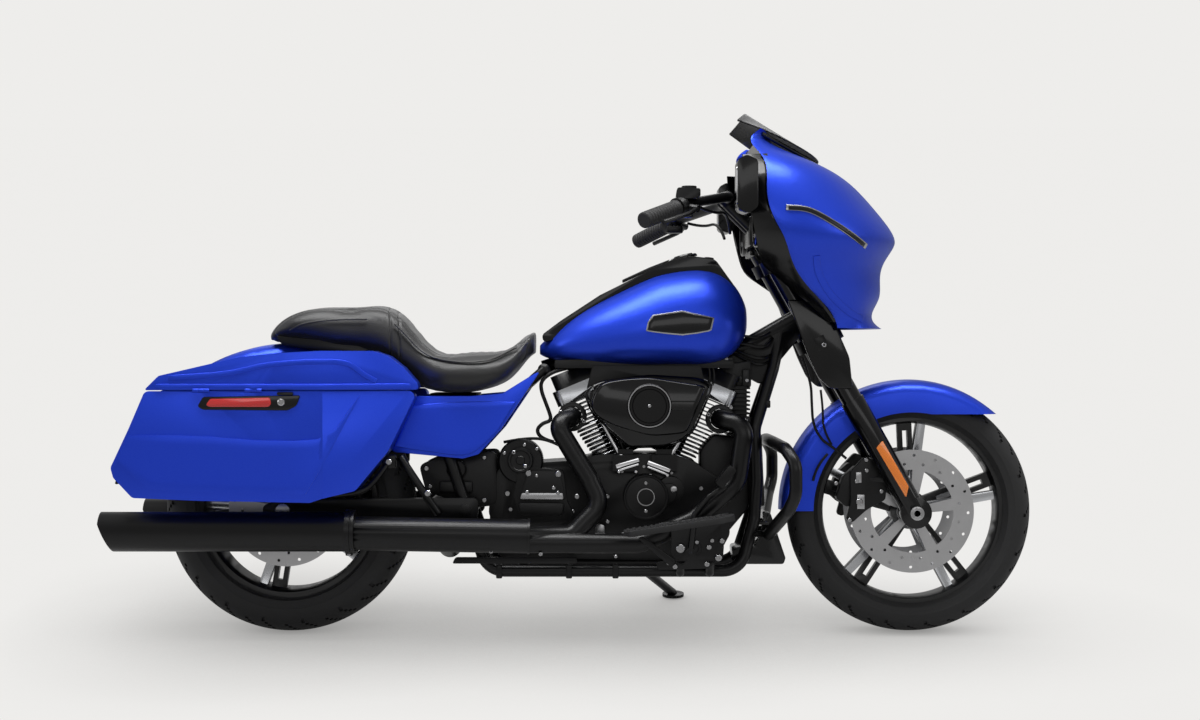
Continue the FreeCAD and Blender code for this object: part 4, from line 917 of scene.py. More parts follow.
    def panel(self, first: Outline, last: Outline, target: Piece, side: int, thick: float,
              rows: int, bevel: float = 0.8) -> Piece:
        """Return a thin panel laid from the side on a surface, between two lines of x and z.

        Args:
            first: One long edge in x and z.
            last: The other long edge.
            target: The surface it is laid on.
            side: The side it is seen from.
            thick: Its thickness.
            rows: The rows of faces between its edges.
            bevel: The width of the bevel.

        Returns:
            The panel.
        """
        columns = len(first)
        self.clear()
        bpy.ops.mesh.primitive_grid_add(x_subdivisions=columns - 1, y_subdivisions=rows, size=1)
        piece = bpy.context.object
        for index, vertex in enumerate(piece.data.vertices):
            row, column = divmod(index, columns)
            x, z = Vector(first[column]).lerp(Vector(last[column]), row / rows)
            vertex.co = (x, side * FAR_OFF, z)
        if piece.data.polygons[0].normal.y * side < 0:
            self.edit(piece, bpy.ops.mesh.flip_normals)
        self.apply(piece, "SHRINKWRAP", target=target, wrap_method="PROJECT", use_project_y=True,
                   use_negative_direction=True, use_positive_direction=True, offset=0.0)
        self.edit(piece, lambda: bpy.ops.mesh.select_all(action="DESELECT"))
        for vertex in piece.data.vertices:
            vertex.select = abs(vertex.co.y) > FAR_OFF - 1
        self.pick(piece)
        bpy.ops.object.mode_set(mode="EDIT")
        bpy.ops.mesh.select_mode(type="VERT")
        bpy.ops.mesh.delete(type="VERT")
        bpy.ops.object.mode_set(mode="OBJECT")
        self.apply(piece, "SOLIDIFY", thickness=thick, offset=1.0)
        piece.data.transform(Matrix.Translation((0, -side * self.SINK, 0)))
        return self.apply(piece, "BEVEL", width=bevel, segments=2, limit_method="ANGLE",
                          angle_limit=math.radians(60))

    def strip(self, path: Outline, width: float, target: Piece, side: int, thick: float,
              bevel: float) -> Piece:
        """Return a narrow strip laid on a surface along a smooth line of x and z.

        Args:
            path: Points on its middle line.
            width: Its width.
            target: The surface it is laid on.
            side: The side it is seen from.
            thick: Its thickness.
            bevel: The width of the bevel.

        Returns:
            The strip.
        """
        middle = [Vector(point) for point in curved(path)]
        upper, lower = [], []
        for index, point in enumerate(middle):
            ahead = middle[min(index + 1, len(middle) - 1)] - middle[max(index - 1, 0)]
            out = Vector((-ahead.y, ahead.x)).normalized() * width / 2
            upper.append(tuple(point + out))
            lower.append(tuple(point - out))
        return self.panel(upper, lower, target, side, thick, rows=2, bevel=bevel)

    def bolts(self, places: Sequence[Point], side: int = RIGHT) -> Piece:
        """Return socket-headed bolts that point to one side, at (x, y, z, radius).

        Args:
            places: Each head's middle and radius.
            side: The side they face.

        Returns:
            The bolts as one piece.
        """
        profile = [(-0.6, 0), (-0.6, 1), (0.45, 1), (0.62, 0.82), (0.62, 0.48), (0.1, 0.44), (0.1, 0)]
        unit = self.lathe(profile, (0, 0, 0), 18, (0, side, 0))
        return self.copies(unit, [Matrix.Translation((x, y, z)) @ Matrix.Scale(radius, 4)
                                  for x, y, z, radius in places])

    def twin(self, piece: Piece) -> Piece:
        """Return a copy of a piece with a mesh of its own.

        Args:
            piece: The piece to copy.

        Returns:
            The copy.
        """
        made = piece.copy()
        made.data = piece.data.copy()
        bpy.context.scene.collection.objects.link(made)
        return made

    def copies(self, piece: Piece, moves: Iterable[Matrix]) -> Piece:
        """Return the piece copied to each place and joined, without the first.

        Args:
            piece: The piece to copy.
            moves: Where each copy goes.

        Returns:
            The copies as one piece.
        """
        made = []
        for move in moves:
            made.append(self.twin(piece))
            made[-1].data.transform(move)
        bpy.data.objects.remove(piece)
        return self.join(made)

    def flipped(self, piece: Piece) -> Piece:
        """Return the piece moved to the machine's other side, faces outward.

        Args:
            piece: The piece to move.

        Returns:
            The mirrored piece.
        """
        made = self.twin(piece)
        made.data.transform(Matrix.Scale(-1, 4, TO_LEFT))
        made.data.flip_normals()
        bpy.data.objects.remove(piece)
        return made

    def cad_copy(self, node: str, bevel: float, flatten: bool = True) -> Piece:
        """Return a copy of a CAD node with its doubles merged and its edges softened.

        Args:
            node: The node's name.
            bevel: The width of the bevel, in metres.
            flatten: Whether flat faces are merged.

        Returns:
            The copy.
        """
        piece = self.twin(self.nodes[node])
        piece.parent = None
        for key in list(piece.keys()):
            if key.startswith("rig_"):
                del piece[key]
        self.edit(piece, lambda: bpy.ops.mesh.remove_doubles(threshold=0.00001))
        if flatten:
            self.edit(piece, lambda: bpy.ops.mesh.dissolve_limited(angle_limit=math.radians(1.0)))
        if bevel:
            self.apply(piece, "BEVEL", width=bevel, segments=2, limit_method="ANGLE",
                       angle_limit=math.radians(35))
        return self.smooth(piece)

    def smooth(self, piece: Piece, angle: float = 32.0) -> Piece:
        """Shade the piece smooth except over edges sharper than an angle.

        Args:
            piece: The piece to shade.
            angle: The angle in degrees.

        Returns:
            The piece.
        """
        self.pick(piece)
        bpy.ops.object.shade_smooth_by_angle(angle=math.radians(angle))
        return piece

    def settle(self, pieces: Piece | list[Piece], name: str, finish: str,
               body: Body = Body.CHASSIS, replaces: str = "", angle: float = 32.0) -> None:
        """Lean a modelled piece with the machine, dress it and let it ride.

        Args:
            pieces: The piece, or a list to join, upright and in millimetres.
            name: Its plain name.
            finish: The name of its finish.
            body: The body it rides on.
            replaces: The CAD node it stands for, if any.
            angle: Edges sharper than this stay sharp.
        """
        piece = self.join(pieces if isinstance(pieces, list) else [pieces])
        self.freeze(piece)
        piece.data.transform(self.lean)
        self.smooth(piece, angle)
        self.fit(piece, name, finish, body, replaces)

    def fit(self, piece: Piece, name: str, finish: str, body: Body = Body.CHASSIS,
            replaces: str = "") -> None:
        """Name, dress and mount a piece that is already in its place.

        Args:
            piece: The piece, leaned and in metres.
            name: Its plain name.
            finish: The name of its finish.
            body: The body it rides on.
            replaces: The CAD node it stands for, if any.
        """
        piece.name = name
        self.palette.dress(piece, finish)
        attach(piece, body.value)
        if replaces:
            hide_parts(replaces)
        LOG.info("%s rides on %s", name, body.value)


# Soft lamps: name, place, aim, length and width in metres, and power in watts.
LAMPS = (
    ("overhead", (0.0, -0.3, 3.6), (0.0, 0.0, 0.6), (4.0, 1.0), 165.0),
    ("right_side", (0.4, -4.4, 2.6), (0.0, 0.0, 0.6), (4.5, 1.0), 19.0),
    ("left_side", (-0.5, 4.4, 2.6), (0.0, 0.0, 0.6), (4.0, 2.0), 40.0),
    ("nose", (4.6, -1.2, 2.0), (0.6, 0.0, 0.7), (1.2, 2.0), 22.0),
    ("tail", (-4.6, -1.0, 2.0), (-0.6, 0.0, 0.7), (1.2, 2.0), 20.0),
)


@dataclass
class Studio:
    """The photograph's camera, soft lamps and a pale floor.

    The camera's distance and height are millimetres in the upright machine's frame.
    """

    bench: Workbench
    distance: float = 5400.0
    eye_height: float = 713.3
    lens: float = 61.3
    ground: Triple = (0.855, 0.847, 0.831)

    def build(self) -> None:
        """Make the camera, lamps, world and floor."""
        self.place_camera()
        self.place_lamps()
        self.lay_floor()
        self.set_world()
        bpy.context.scene.view_settings.view_transform = "Standard"

    def place_camera(self) -> None:
        """Put the camera where the photographer stood, level with the leaning machine's side."""
        data = bpy.data.cameras.new("camera")
        data.lens = self.lens
        camera = bpy.data.objects.new("camera", data)
        bpy.context.scene.collection.objects.link(camera)
        eye = self.bench.place((0, -self.distance, self.eye_height))
        level = Matrix.Rotation(math.pi / 2, 4, "X")
        camera.matrix_world = Matrix.Translation(eye) @ Matrix.Rotation(-LEAN, 4, "X") @ level
        data.clip_end = 100
        bpy.context.scene.camera = camera

    def place_lamps(self) -> None:
        """Hang large soft lamps above, beside and behind."""
        for name, place, aim, size, power in LAMPS:
            data = bpy.data.lights.new(name, "AREA")
            data.shape = "RECTANGLE"
            data.size, data.size_y = size
            data.energy = power
            lamp = bpy.data.objects.new(name, data)
            bpy.context.scene.collection.objects.link(lamp)
            lamp.location = place
            lamp.rotation_euler = (Vector(aim) - Vector(place)).to_track_quat("-Z", "Y").to_euler()

    def pale_to_camera(self, sheet: ShaderSheet) -> Socket:
        """Return how far a ray shows the background: camera and glass rays fully, mirrors in part.

        Args:
            sheet: The sheet to add it to.

        Returns:
            The share from 0 to 1.
        """
        path = "ShaderNodeLightPath"
        seen = sheet.add(path, output="Is Camera Ray")
        mirrored = sheet.add(path, output="Is Glossy Ray")
        through = sheet.add(path, output="Is Transmission Ray")
        return seen.math("MAXIMUM", mirrored * 0.4).math("MAXIMUM", through)

    def lay_floor(self) -> None:
        """Lay a pale floor whose glow, seen by the camera, carries a painted contact shadow from ambient
        occlusion.
        """
        self.bench.clear()
        bpy.ops.mesh.primitive_plane_add(size=60, location=(0, 0, 0))
        floor = bpy.context.object
        floor.name = "floor"
        sheet = ShaderSheet("pale_floor")
        grain = sheet.noise(sheet.place(upright=False), 3.0, 2.0)
        tone = sheet.mix(grain, tuple(value * 0.995 for value in self.ground), self.ground)
        matt = sheet.add("ShaderNodeBsdfDiffuse", {}, {"Color": (0.55, 0.55, 0.55, 1.0)})
        # Ambient occlusion darkens the floor's glow: a painted contact shadow under the machine.
        painted_contact_shadow = sheet.add("ShaderNodeAmbientOcclusion", {"samples": 24}, {"Distance": 0.55}, "AO")
        tone_with_painted_shadow = sheet.mix(painted_contact_shadow, tuple(value * 0.3 for value in self.ground), tone)
        glow = sheet.add("ShaderNodeEmission", {}, {"Color": tone_with_painted_shadow, "Strength": 1.0})
        both = sheet.add("ShaderNodeMixShader", {}, {0: self.pale_to_camera(sheet), 1: matt, 2: glow})
        sheet.add("ShaderNodeOutputMaterial", {}, {"Surface": both})
        floor.data.materials.append(sheet.owner)

    def set_world(self) -> None:
        """Set a world that shows the ground's tone and lights the machine faintly."""
        sheet = ShaderSheet("studio", world=True)
        bpy.context.scene.world = sheet.owner
        seen = self.pale_to_camera(sheet)
        low = sheet.add("ShaderNodeBackground", {}, {"Color": (1, 1, 1, 1), "Strength": 0.10})
        high = sheet.add("ShaderNodeBackground", {}, {"Color": (*self.ground, 1), "Strength": 1.0})
        both = sheet.add("ShaderNodeMixShader", {}, {0: seen, 1: low, 2: high})
        sheet.add("ShaderNodeOutputWorld", {}, {"Surface": both})


@dataclass
class Tyre:
    """One tyre: a turned casing with moulded sidewall rings and slanted tread grooves."""

    bench: Workbench
    node: str
    body: Body
    axle: Vector
    radius: float
    half_width: float
    bead: float
    bead_half: float
    steps: int = 216
    pitch: int = 12
    groove: float = 4.5
    crown: float = 0.62

    def casing(self) -> list[tuple[float, float]]:
        """Return the closed section: crown, shoulders, sidewalls and the hidden inside.

        Returns:
            Pairs of the place along the axle and the radius.
        """
        rise, wide = self.radius - self.bead, self.half_width
        crown = [(wide * math.sin(turn), self.radius - wide * self.crown * (1 - math.cos(turn)))
                 for turn in (math.radians(step * 8.0) for step in range(10))]
        shoulder = self.radius - wide * self.crown
        side = [(wide * 1.0, shoulder + rise * 0.02), (wide * 1.005, shoulder - rise * 0.10),
                (wide * 0.985, shoulder - rise * 0.14), (wide * 0.98, shoulder - rise * 0.22),
                (wide * 0.95, shoulder - rise * 0.32)]
        side = [(y, max(r, self.bead + 12)) for y, r in side]
        bead = [(self.bead_half + 7, self.bead + 8), (self.bead_half + 1, self.bead + 1.5),
                (self.bead_half - 7, self.bead + 2.5)]
        inside = [(self.bead_half - 9, self.bead + 12), (wide * 0.86, shoulder - rise * 0.1),
                  (wide * 0.6, self.radius - wide * 0.35)]
        right = crown + side + bead + inside
        return right + [(-y, r) for y, r in reversed(right) if y > 0.01]

    def grooves(self, piece: Piece) -> None:
        """Sink slanted slots into the tread, alternately from the left and right.

        Args:
            piece: The turned casing.
        """
        turn = 2 * math.pi / self.steps
        self.bench.pick(piece)
        for polygon in piece.data.polygons:
            middle = polygon.center - self.axle
            reach = math.hypot(middle.x, middle.z)
            along = round(math.atan2(middle.z, middle.x) / turn - 0.5)
            share = middle.y / self.half_width
            across = round(abs(share) * 9)
            start = self.pitch // 2 if share > 0 else 0
            slot = (along + start + across) % self.pitch == 0 and 1 <= across <= 7
            short = (along + start + across + self.pitch // 2) % self.pitch == 0 and 5 <= across <= 8
            polygon.select = (slot or short) and reach > self.radius - self.half_width * 0.5 and (
                polygon.normal.dot(middle) > 0)
        bpy.ops.object.mode_set(mode="EDIT")
        bpy.ops.mesh.select_mode(type="FACE")
        bpy.ops.mesh.extrude_region_shrink_fatten(
            TRANSFORM_OT_shrink_fatten={"value": -self.groove})
        bpy.ops.object.mode_set(mode="OBJECT")

    def build(self) -> None:
        """Turn the casing, groove it and mount it."""
        piece = self.bench.lathe(self.casing(), self.axle, self.steps)
        self.bench.edit(piece, lambda: bpy.ops.mesh.select_all(action="DESELECT"))
        self.grooves(piece)
        self.bench.settle(piece, f"{self.node}_tread", "tyre_rubber", self.body, self.node, 24)


@dataclass
class Wheels:
    """Both wheels: modelled tyres, and rims kept from the CAD."""

    bench: Workbench

    def build(self) -> None:
        """Make the tyres, then dress the rims."""
        Tyre(self.bench, "front_tyre", Body.FRONT_WHEEL, FRONT_AXLE, 320.0, 65.0, 241.0, 48.0).build()
        Tyre(self.bench, "rear_tyre", Body.REAR_WHEEL, REAR_AXLE, 328.0, 89.5, 229.0, 66.0).build()
        for end in ("front", "rear"):
            rim = self.bench.cad_copy(f"{end}_rim", 0.0012)
            self.bench.fit(rim, f"{end}_cast_rim", f"{end}_wheel_cut", Body(f"{end}_wheel"),
                           f"{end}_rim")


@dataclass
class CastForms:
    """Frame, fork and engine forms kept from the CAD, with softened edges and real finishes."""

    bench: Workbench

    def build(self) -> None:
        """Copy each form, soften it and let it stand for its node."""
        for body, forms in self.forms().items():
            for node, (finish, bevel) in forms.items():
                piece = self.bench.cad_copy(node, bevel, flatten=bool(bevel))
                if not bevel:
                    self.bench.apply(piece, "WEIGHTED_NORMAL", keep_sharp=True, weight=60)
                self.bench.fit(piece, f"{node}_form", finish, body, node)

    def forms(self) -> dict[Body, dict[str, tuple[str, float]]]:
        """Return each node's finish and edge radius in metres, by body.

        Returns:
            By body, each node's finish and the radius of its edges.
        """
        return {
            Body.CHASSIS: {
                "frame": ("satin_black", 0.0), "swingarm": ("satin_black", 0.0015),
                "shocks": ("satin_black", 0.0), "rear_axle": ("steel", 0.0008),
                "crankcase": ("wrinkle_black", 0.003), "primary_cover": ("wrinkle_black", 0.003),
                "front_cylinder": ("fin_black", 0.0), "rear_cylinder": ("fin_black", 0.0),
                "exhaust_pipes": ("satin_black", 0.0), "muffler_right": ("satin_black", 0.0008),
                "muffler_left": ("satin_black", 0.0008), "fuel_tank": ("satin_blue", 0.0),
                "tank_console": ("gloss_black", 0.003),
                "side_cover_right": ("satin_blue", 0.002), "side_cover_left": ("satin_blue", 0.002),
                "rear_fender": ("satin_blue", 0.0), "tail_lamp": ("red_lens", 0.002),
                "bag_right": ("satin_blue", 0.004), "bag_left": ("satin_blue", 0.004),
                "engine_guard": ("satin_black", 0.0), "radiator": ("wrinkle_black", 0.001),
                "chin_cowl": ("gloss_black", 0.002), "board_mount_right": ("satin_black", 0.001),
                "board_mount_left": ("satin_black", 0.001), "rear_caliper": ("wrinkle_black", 0.002),
            },
            Body.FORK: {
                "triple_clamp": ("satin_black", 0.002), "fork_legs": ("gloss_black", 0.001),
                "front_axle": ("steel", 0.0008), "front_fender": ("satin_blue", 0.0),
                "fairing_outer": ("satin_blue", 0.0), "fairing_inner": ("gloss_black", 0.0),
                "windshield": ("smoked_screen", 0.0),
                "handlebar": ("satin_black", 0.0), "mirror_right": ("gloss_black", 0.004),
                "mirror_left": ("gloss_black", 0.004), "front_calipers": ("wrinkle_black", 0.002),
                "hand_control_right": ("satin_black", 0.001),
                "hand_control_left": ("satin_black", 0.001),
            },
            Body.FRONT_WHEEL: {
                "front_disc_right": ("disc_steel", 0.0), "front_disc_left": ("disc_steel", 0.0),
            },
            Body.REAR_WHEEL: {
                "rear_disc": ("disc_steel", 0.0), "rear_pulley": ("wrinkle_black", 0.001),
            },
            Body.SIDE_STAND: {"side_stand": ("satin_black", 0.001)},
            Body.LID_RIGHT: {"lid_right": ("satin_blue", 0.004)},
            Body.LID_LEFT: {"lid_left": ("satin_blue", 0.004)},
            Body.FOOTBOARD_RIGHT: {"footboard_right": ("grip_rubber", 0.002)},
            Body.FOOTBOARD_LEFT: {"footboard_left": ("grip_rubber", 0.002)},
        }


@dataclass
class Saddle:
    """The two-up saddle: vinyl blown up over its foam, with sewn seams and channels.

    Lengths of the cushion's skin are metres, and those of its seams are millimetres.
    """

    bench: Workbench
    voxel: float = 0.005
    shrink: float = 0.003
    cap: float = 0.0045
    frames: int = 20
    seams: tuple[float, float] = (-532, -556)
    seam_width: float = 2.6
    seam_depth: float = 3.4
    edge_seam_width: float = 3.0
    edge_seam_depth: float = 3.0
    channelled: tuple[float, float] = (-505, -215)
    channel_pitch: float = 26.0
    channel_depth: float = 1.0

    def build(self) -> None:
        """Inflate the cushion and sew its seams."""
        bench = self.bench
        piece = bench.cad_copy("seat", 0.0)
        bench.apply(piece, "REMESH", mode="VOXEL", voxel_size=self.voxel, use_smooth_shade=True)
        bench.apply(piece, "DISPLACE", strength=-self.shrink, mid_level=0.0)
        self.inflate(piece)
        bench.apply(piece, "SMOOTH", factor=0.5, iterations=2)
        bench.apply(piece, "SUBSURF", levels=1, render_levels=1)
        self.sew(piece)
        bench.smooth(piece, 60)
        cad_seat = bench.upright_copy("seat")
        lines = ([(-800, 789), (-763, 806), (-690, 816), (-600, 818)],
                 [(-530, 806), (-507, 784), (-462, 738), (-416, 716), (-350, 708), (-281, 714),
                  (-215, 745)])
        piping = [bench.strip(line, 4, cad_seat, side, 3.6, 1.0)
                  for side in (RIGHT, LEFT) for line in lines]
        bench.settle(piping, "saddle_piping", "seat_vinyl")
        base = bench.slab([(-838, 776), (-640, 756), (-596, 738), (-640, 722), (-700, 733),
                           (-822, 752)], 8, -118, 118, 4)
        bench.settle(base, "saddle_base", "satin_black")
        bench.fit(piece, "saddle_cushion", "seat_vinyl", replaces="seat")

    def inflate(self, piece: Piece) -> None:
        """Blow the cushion up with cloth, no point further than the cap.

        Args:
            piece: The cushion.
        """
        rest = [vertex.co.copy() for vertex in piece.data.vertices]
        self.bench.pick(piece)
        cloth = piece.modifiers.new("Blow", "CLOTH")
        cloth.settings.use_pressure = True
        cloth.settings.uniform_pressure_force = 3.0
        cloth.settings.effector_weights.gravity = 0.0
        cloth.settings.quality = 4
        scene = bpy.context.scene
        for frame in range(1, self.frames + 1):
            scene.frame_set(frame)
        bpy.ops.object.modifier_apply(modifier=cloth.name)
        scene.frame_set(1)
        for vertex, start in zip(piece.data.vertices, rest):
            move = vertex.co - start
            if move.length > self.cap:
                vertex.co = start + move.normalized() * self.cap

    def sew(self, piece: Piece) -> None:
        """Press seams and channels into the cushion along lines of the upright machine.

        Args:
            piece: The inflated cushion.
        """
        back = self.bench.lean.inverted()
        normals = [vertex.normal.copy() for vertex in piece.data.vertices]
        for vertex, normal in zip(piece.data.vertices, normals):
            x, y, z = back @ vertex.co
            depth, bend = 0.0, 0.12 * abs(y)
            for seam in self.seams:
                depth += self.seam_depth * math.exp(-((x - bend - seam) / self.seam_width) ** 2)
            # The side seams bow outward where the rider sits.
            inside = 104 + 20 * math.exp(-((x + 330) / 90) ** 2)
            beside = (abs(y) - inside) / self.edge_seam_width
            depth += self.edge_seam_depth * math.exp(-beside ** 2) * (z > 690)
            if self.channelled[0] < x < self.channelled[1] and abs(y) < inside - 8:
                wave = math.cos(math.tau * (x + bend) / self.channel_pitch)
                depth += self.channel_depth * (0.5 - 0.5 * wave)
            vertex.co -= normal * depth * MILLIMETRE


@dataclass
class Bodywork:
    """Fittings of the tank, side covers, bags, tail, frame and footboards."""

    bench: Workbench
    bag_side: float = 335.0
    board_middle: Triple = (195.5, 0, 299)
    board_slope: float = math.radians(8.5)

    def build(self) -> None:
        """Make every fitting of the bodywork."""
        self.tank_trim()
        self.side_panels()
        for side, name in SIDES:
            self.bag_fittings(side, name)
            self.board_pads(side, name)
        self.tail()
        self.brackets()
        self.shock_springs()
        self.looms()

    def tank_trim(self) -> None:
        """A plain edged plate on each flank, the filler cap, and the console's ridge and lock."""
        bench = self.bench
        tank = bench.upright_copy("fuel_tank")
        upper = [(126, 809), (138, 826), (175, 831), (211, 836), (243, 829), (275, 823), (289, 820)]
        lower = [(122, 790), (140, 787), (175, 783), (211, 780), (246, 784), (275, 789), (282, 792)]
        edges = [[(205 + (x - 205) * 1.05, 808 + (z - 808) * 1.14) for x, z in line]
                 for line in (upper, lower)]
        for side, name in SIDES:
            plate = bench.panel(upper, lower, tank, side, 3.4, 5)
            bench.settle(plate, f"tank_plate_{name}", "gloss_black", angle=50)
            edge = bench.panel(*edges, tank, side, 2.2, 5)
            bench.settle(edge, f"tank_plate_edge_{name}", "steel", angle=50)
        ring = bench.lathe([(0, 0), (0, 36), (5, 36), (8, 33), (8, 26), (11, 24), (13, 0)],
                           (222, 0, 980), 56, (-0.24, 0, 0.97))
        ridge = bench.slab([(60, 917), (132, 950), (180, 972), (184, 978), (130, 957), (58, 924)], 3,
                           -24, 24, 2)
        lock = bench.lathe([(0, 0), (0, 13), (5, 12), (6, 5), (3, 4), (3, 0)], (288, 0, 979), 32,
                           (0.1, 0, 0.99))
        bench.settle([ring, ridge, lock], "tank_console_cap", "gloss_black")

    def side_panels(self) -> None:
        """The raised lower field of each side cover."""
        bench = self.bench
        cover = bench.upright_copy("side_cover_right", "side_cover_left")
        upper = curved([(-484, 596), (-400, 604), (-300, 607), (-216, 606)])
        lower = curved([(-528, 492), (-440, 478), (-336, 472), (-262, 532)])
        for side, name in SIDES:
            field = bench.panel(upper, lower, cover, side, 4.0, 8, 1.8)
            bench.settle(field, f"side_field_{name}", "satin_blue", angle=50)

    def bag_fittings(self, side: int, name: str) -> None:
        """A bag's bezel, lens, lock, latch, stay and lower field, and the ridges of its lid.

        Args:
            side: The side of the machine.
            name: That side's name.
        """
        bench = self.bench
        y = side * self.bag_side

        def raised(outline: Outline, radius: float, out: float) -> Piece:
            """Return a plate that stands out from the bag's flat side."""
            return bench.slab(outline, radius, y - side * 2, y + side * out, 2)

        bezel = raised([(-998, 598), (-984, 622), (-742, 626), (-752, 600), (-774, 588), (-984, 590)],
                       6, 4)
        bench.settle(bezel, f"bag_bezel_{name}", "gloss_black")
        lens = raised([(-976, 602), (-966, 617), (-818, 620), (-814, 604), (-822, 597), (-968, 597)],
                      4, 7)
        bench.settle(lens, f"bag_lens_{name}", "red_lens")
        lock = bench.lathe([(335, 0), (335, 10), (341, 9), (343, 6), (341, 5), (341, 0)],
                           (-790, 0, 609), 32, (0, side, 0))
        bench.settle(lock, f"bag_lock_{name}", "steel")
        body = bench.upright_copy(f"bag_{name}")
        lower = bench.panel([(-1168, 526), (-1060, 527), (-960, 523), (-852, 514), (-760, 513),
                             (-700, 517), (-655, 545), (-625, 590), (-602, 622)],
                            [(-1200, 462), (-1118, 392), (-1010, 386), (-900, 383), (-800, 381),
                             (-730, 380), (-700, 430), (-668, 494), (-634, 560)],
                            body, side, 3.0, 6, 2.0)
        bench.settle(lower, f"bag_lower_field_{name}", "satin_blue", angle=60)
        lid = bench.upright_copy(f"lid_{name}")
        bead = bench.strip([(-1196, 647), (-1080, 647), (-960, 647), (-840, 647), (-790, 647),
                            (-762, 647), (-748, 647), (-734, 647), (-718, 647), (-660, 647),
                            (-560, 647), (-480, 647)], 14, lid, side, 4.0, 1.5)
        ridge = bench.strip([(-1070, 669), (-925, 680), (-823, 701), (-707, 709), (-634, 705),
                             (-590, 676), (-562, 660)], 13, lid, side, 3.0, 1.4)
        bench.settle([bead, ridge], f"lid_ridges_{name}", "satin_blue", Body(f"lid_{name}"), angle=60)
        pipe = bench.wire([(-683, side * 246, 372), (-605, side * 240, 374), (-566, side * 214, 411),
                           (-542, side * 190, 449)], 8)
        foot = bench.block((-556, side * 176, 436), (-520, side * 196, 472), 5)
        bench.settle([pipe, foot], f"bag_stay_{name}", "satin_black")
        heads = bench.bolts([(-538, side * 197, 454, 8), (-440, side * 180, 373, 8)], side)
        bench.settle(heads, f"bag_stay_bolts_{name}", "steel")
        latch = bench.block((-800, y - side * 2, 626), (-760, y + side * 9, 634), 2.5)
        bench.settle(latch, f"bag_latch_{name}", "gloss_black")

    def board_pads(self, side: int, name: str) -> None:
        """Ribbed rubber on a footboard, sloped with it.

        Args:
            side: The side of the machine.
            name: That side's name.
        """
        bench = self.bench
        middle = Matrix.Translation(self.board_middle)
        turn = middle @ Matrix.Rotation(-self.board_slope, 4, "Y") @ middle.inverted()
        ribs = [bench.block((x, 256, 304), (x + 8, 318 if x < 290 else 306, 308.5), 1.5)
                for x in range(66, 307, 15)]
        pad = bench.join(ribs + [bench.block((60, 252, 303), (322, 326, 306.3), 1.2)])
        pad.data.transform(turn)
        bench.settle(pad if side == LEFT else bench.flipped(pad), f"board_rubber_{name}",
                     "grip_rubber", Body(f"footboard_{name}"))

    def tail(self) -> None:
        """The tail lamp's lens in its black frame, and the holder with a blank number plate."""
        bench = self.bench
        lens = bench.slab([(-1200, 600), (-1152, 606), (-1142, 566), (-1208, 554)], 6, -66, 66, 5, 3)
        bench.settle(lens, "tail_lens", "red_lens")
        frame = [bench.slab([(-1197, 608), (-1150, 614), (-1150, 604), (-1199, 598)], 3, -71, 71, 2),
                 bench.slab([(-1207, 556), (-1140, 568), (-1138, 558), (-1206, 546)], 3, -71, 71, 2),
                 bench.slab([(-1180, 556), (-1160, 556), (-1216, 500), (-1228, 504)], 4, -26, 26, 2)]
        holder = bench.slab([(-1216, 536), (-1222, 538), (-1260, 392), (-1254, 390)], 1.5, -94, 94, 1)
        bench.settle(frame + [holder], "plate_holder", "satin_black")
        blank = bench.plate([(-1223, 530), (-1225, 530.5), (-1259, 400), (-1257, 399.5)], -88, 88, 0.4)
        bench.settle(blank, "plate_blank", "cast_silver")

    def brackets(self) -> None:
        """Bolts and arms of the footboard brackets, lugs of the lower rail and battery covers."""
        bench = self.bench
        # The outer face of the right bracket.
        y = -225
        places = [(204, y, 236, 11), (245, y, 252, 5), (284, y, 256, 5), (309, y - 2, 255, 6),
                  (276, y, 239, 6), (300, y, 212, 8), (271, y, 196, 6), (174, y, 200, 6),
                  (190, y, 190, 6)]
        plain = [(x, -y, z, radius) for x, _, z, radius in places[:6]]
        bench.settle([bench.bolts(places), bench.bolts(plain, LEFT)], "bracket_bolts", "steel")
        hole = bench.lathe([(223.2, 20), (225, 19), (225, 12), (223.2, 11)], (238, 0, 236), 32,
                           TO_RIGHT)
        arm = bench.slab([(96, 262), (108, 268), (192, 206), (186, 192), (176, 192)], 6, -231, -222, 2)
        strut = bench.cylinder((-512, -168, 466), (-414, -168, 318), 10, 3)
        lugs = [bench.block((x - 8, -136, 150), (x + 8, -118, 186), 3) for x in (-260, -80, 40)]
        guard = bench.slab([(-372, 206), (-60, 206), (-60, 190), (-380, 190)], 6, -150, -136, 3)
        bench.settle([hole, arm, strut, guard] + lugs, "lower_brackets", "satin_black")
        covers = []
        outline = rounded([(-268, 476), (-400, 472), (-470, 440), (-452, 372), (-330, 330),
                           (-268, 336)], 16)
        for side in (RIGHT, LEFT):
            covers += [bench.plate(outline, side * 88, side * 98, 3),
                       bench.block((-416, side * 98, 368), (-330, side * 112, 400), 6),
                       bench.lathe([(96, 0), (96, 26), (108, 26), (112, 22), (112, 0)], (-372, 0, 430),
                                   40, (0, side, 0))]
        bench.settle(covers, "battery_covers", "wrinkle_black")
        heads = bench.bolts([(-450, -98, 432, 6), (-300, -98, 460, 5), (-300, -98, 350, 6),
                             (-372, -112, 430, 7), (-440, -98, 386, 5)])
        bench.settle(heads, "battery_cover_bolts", "steel")

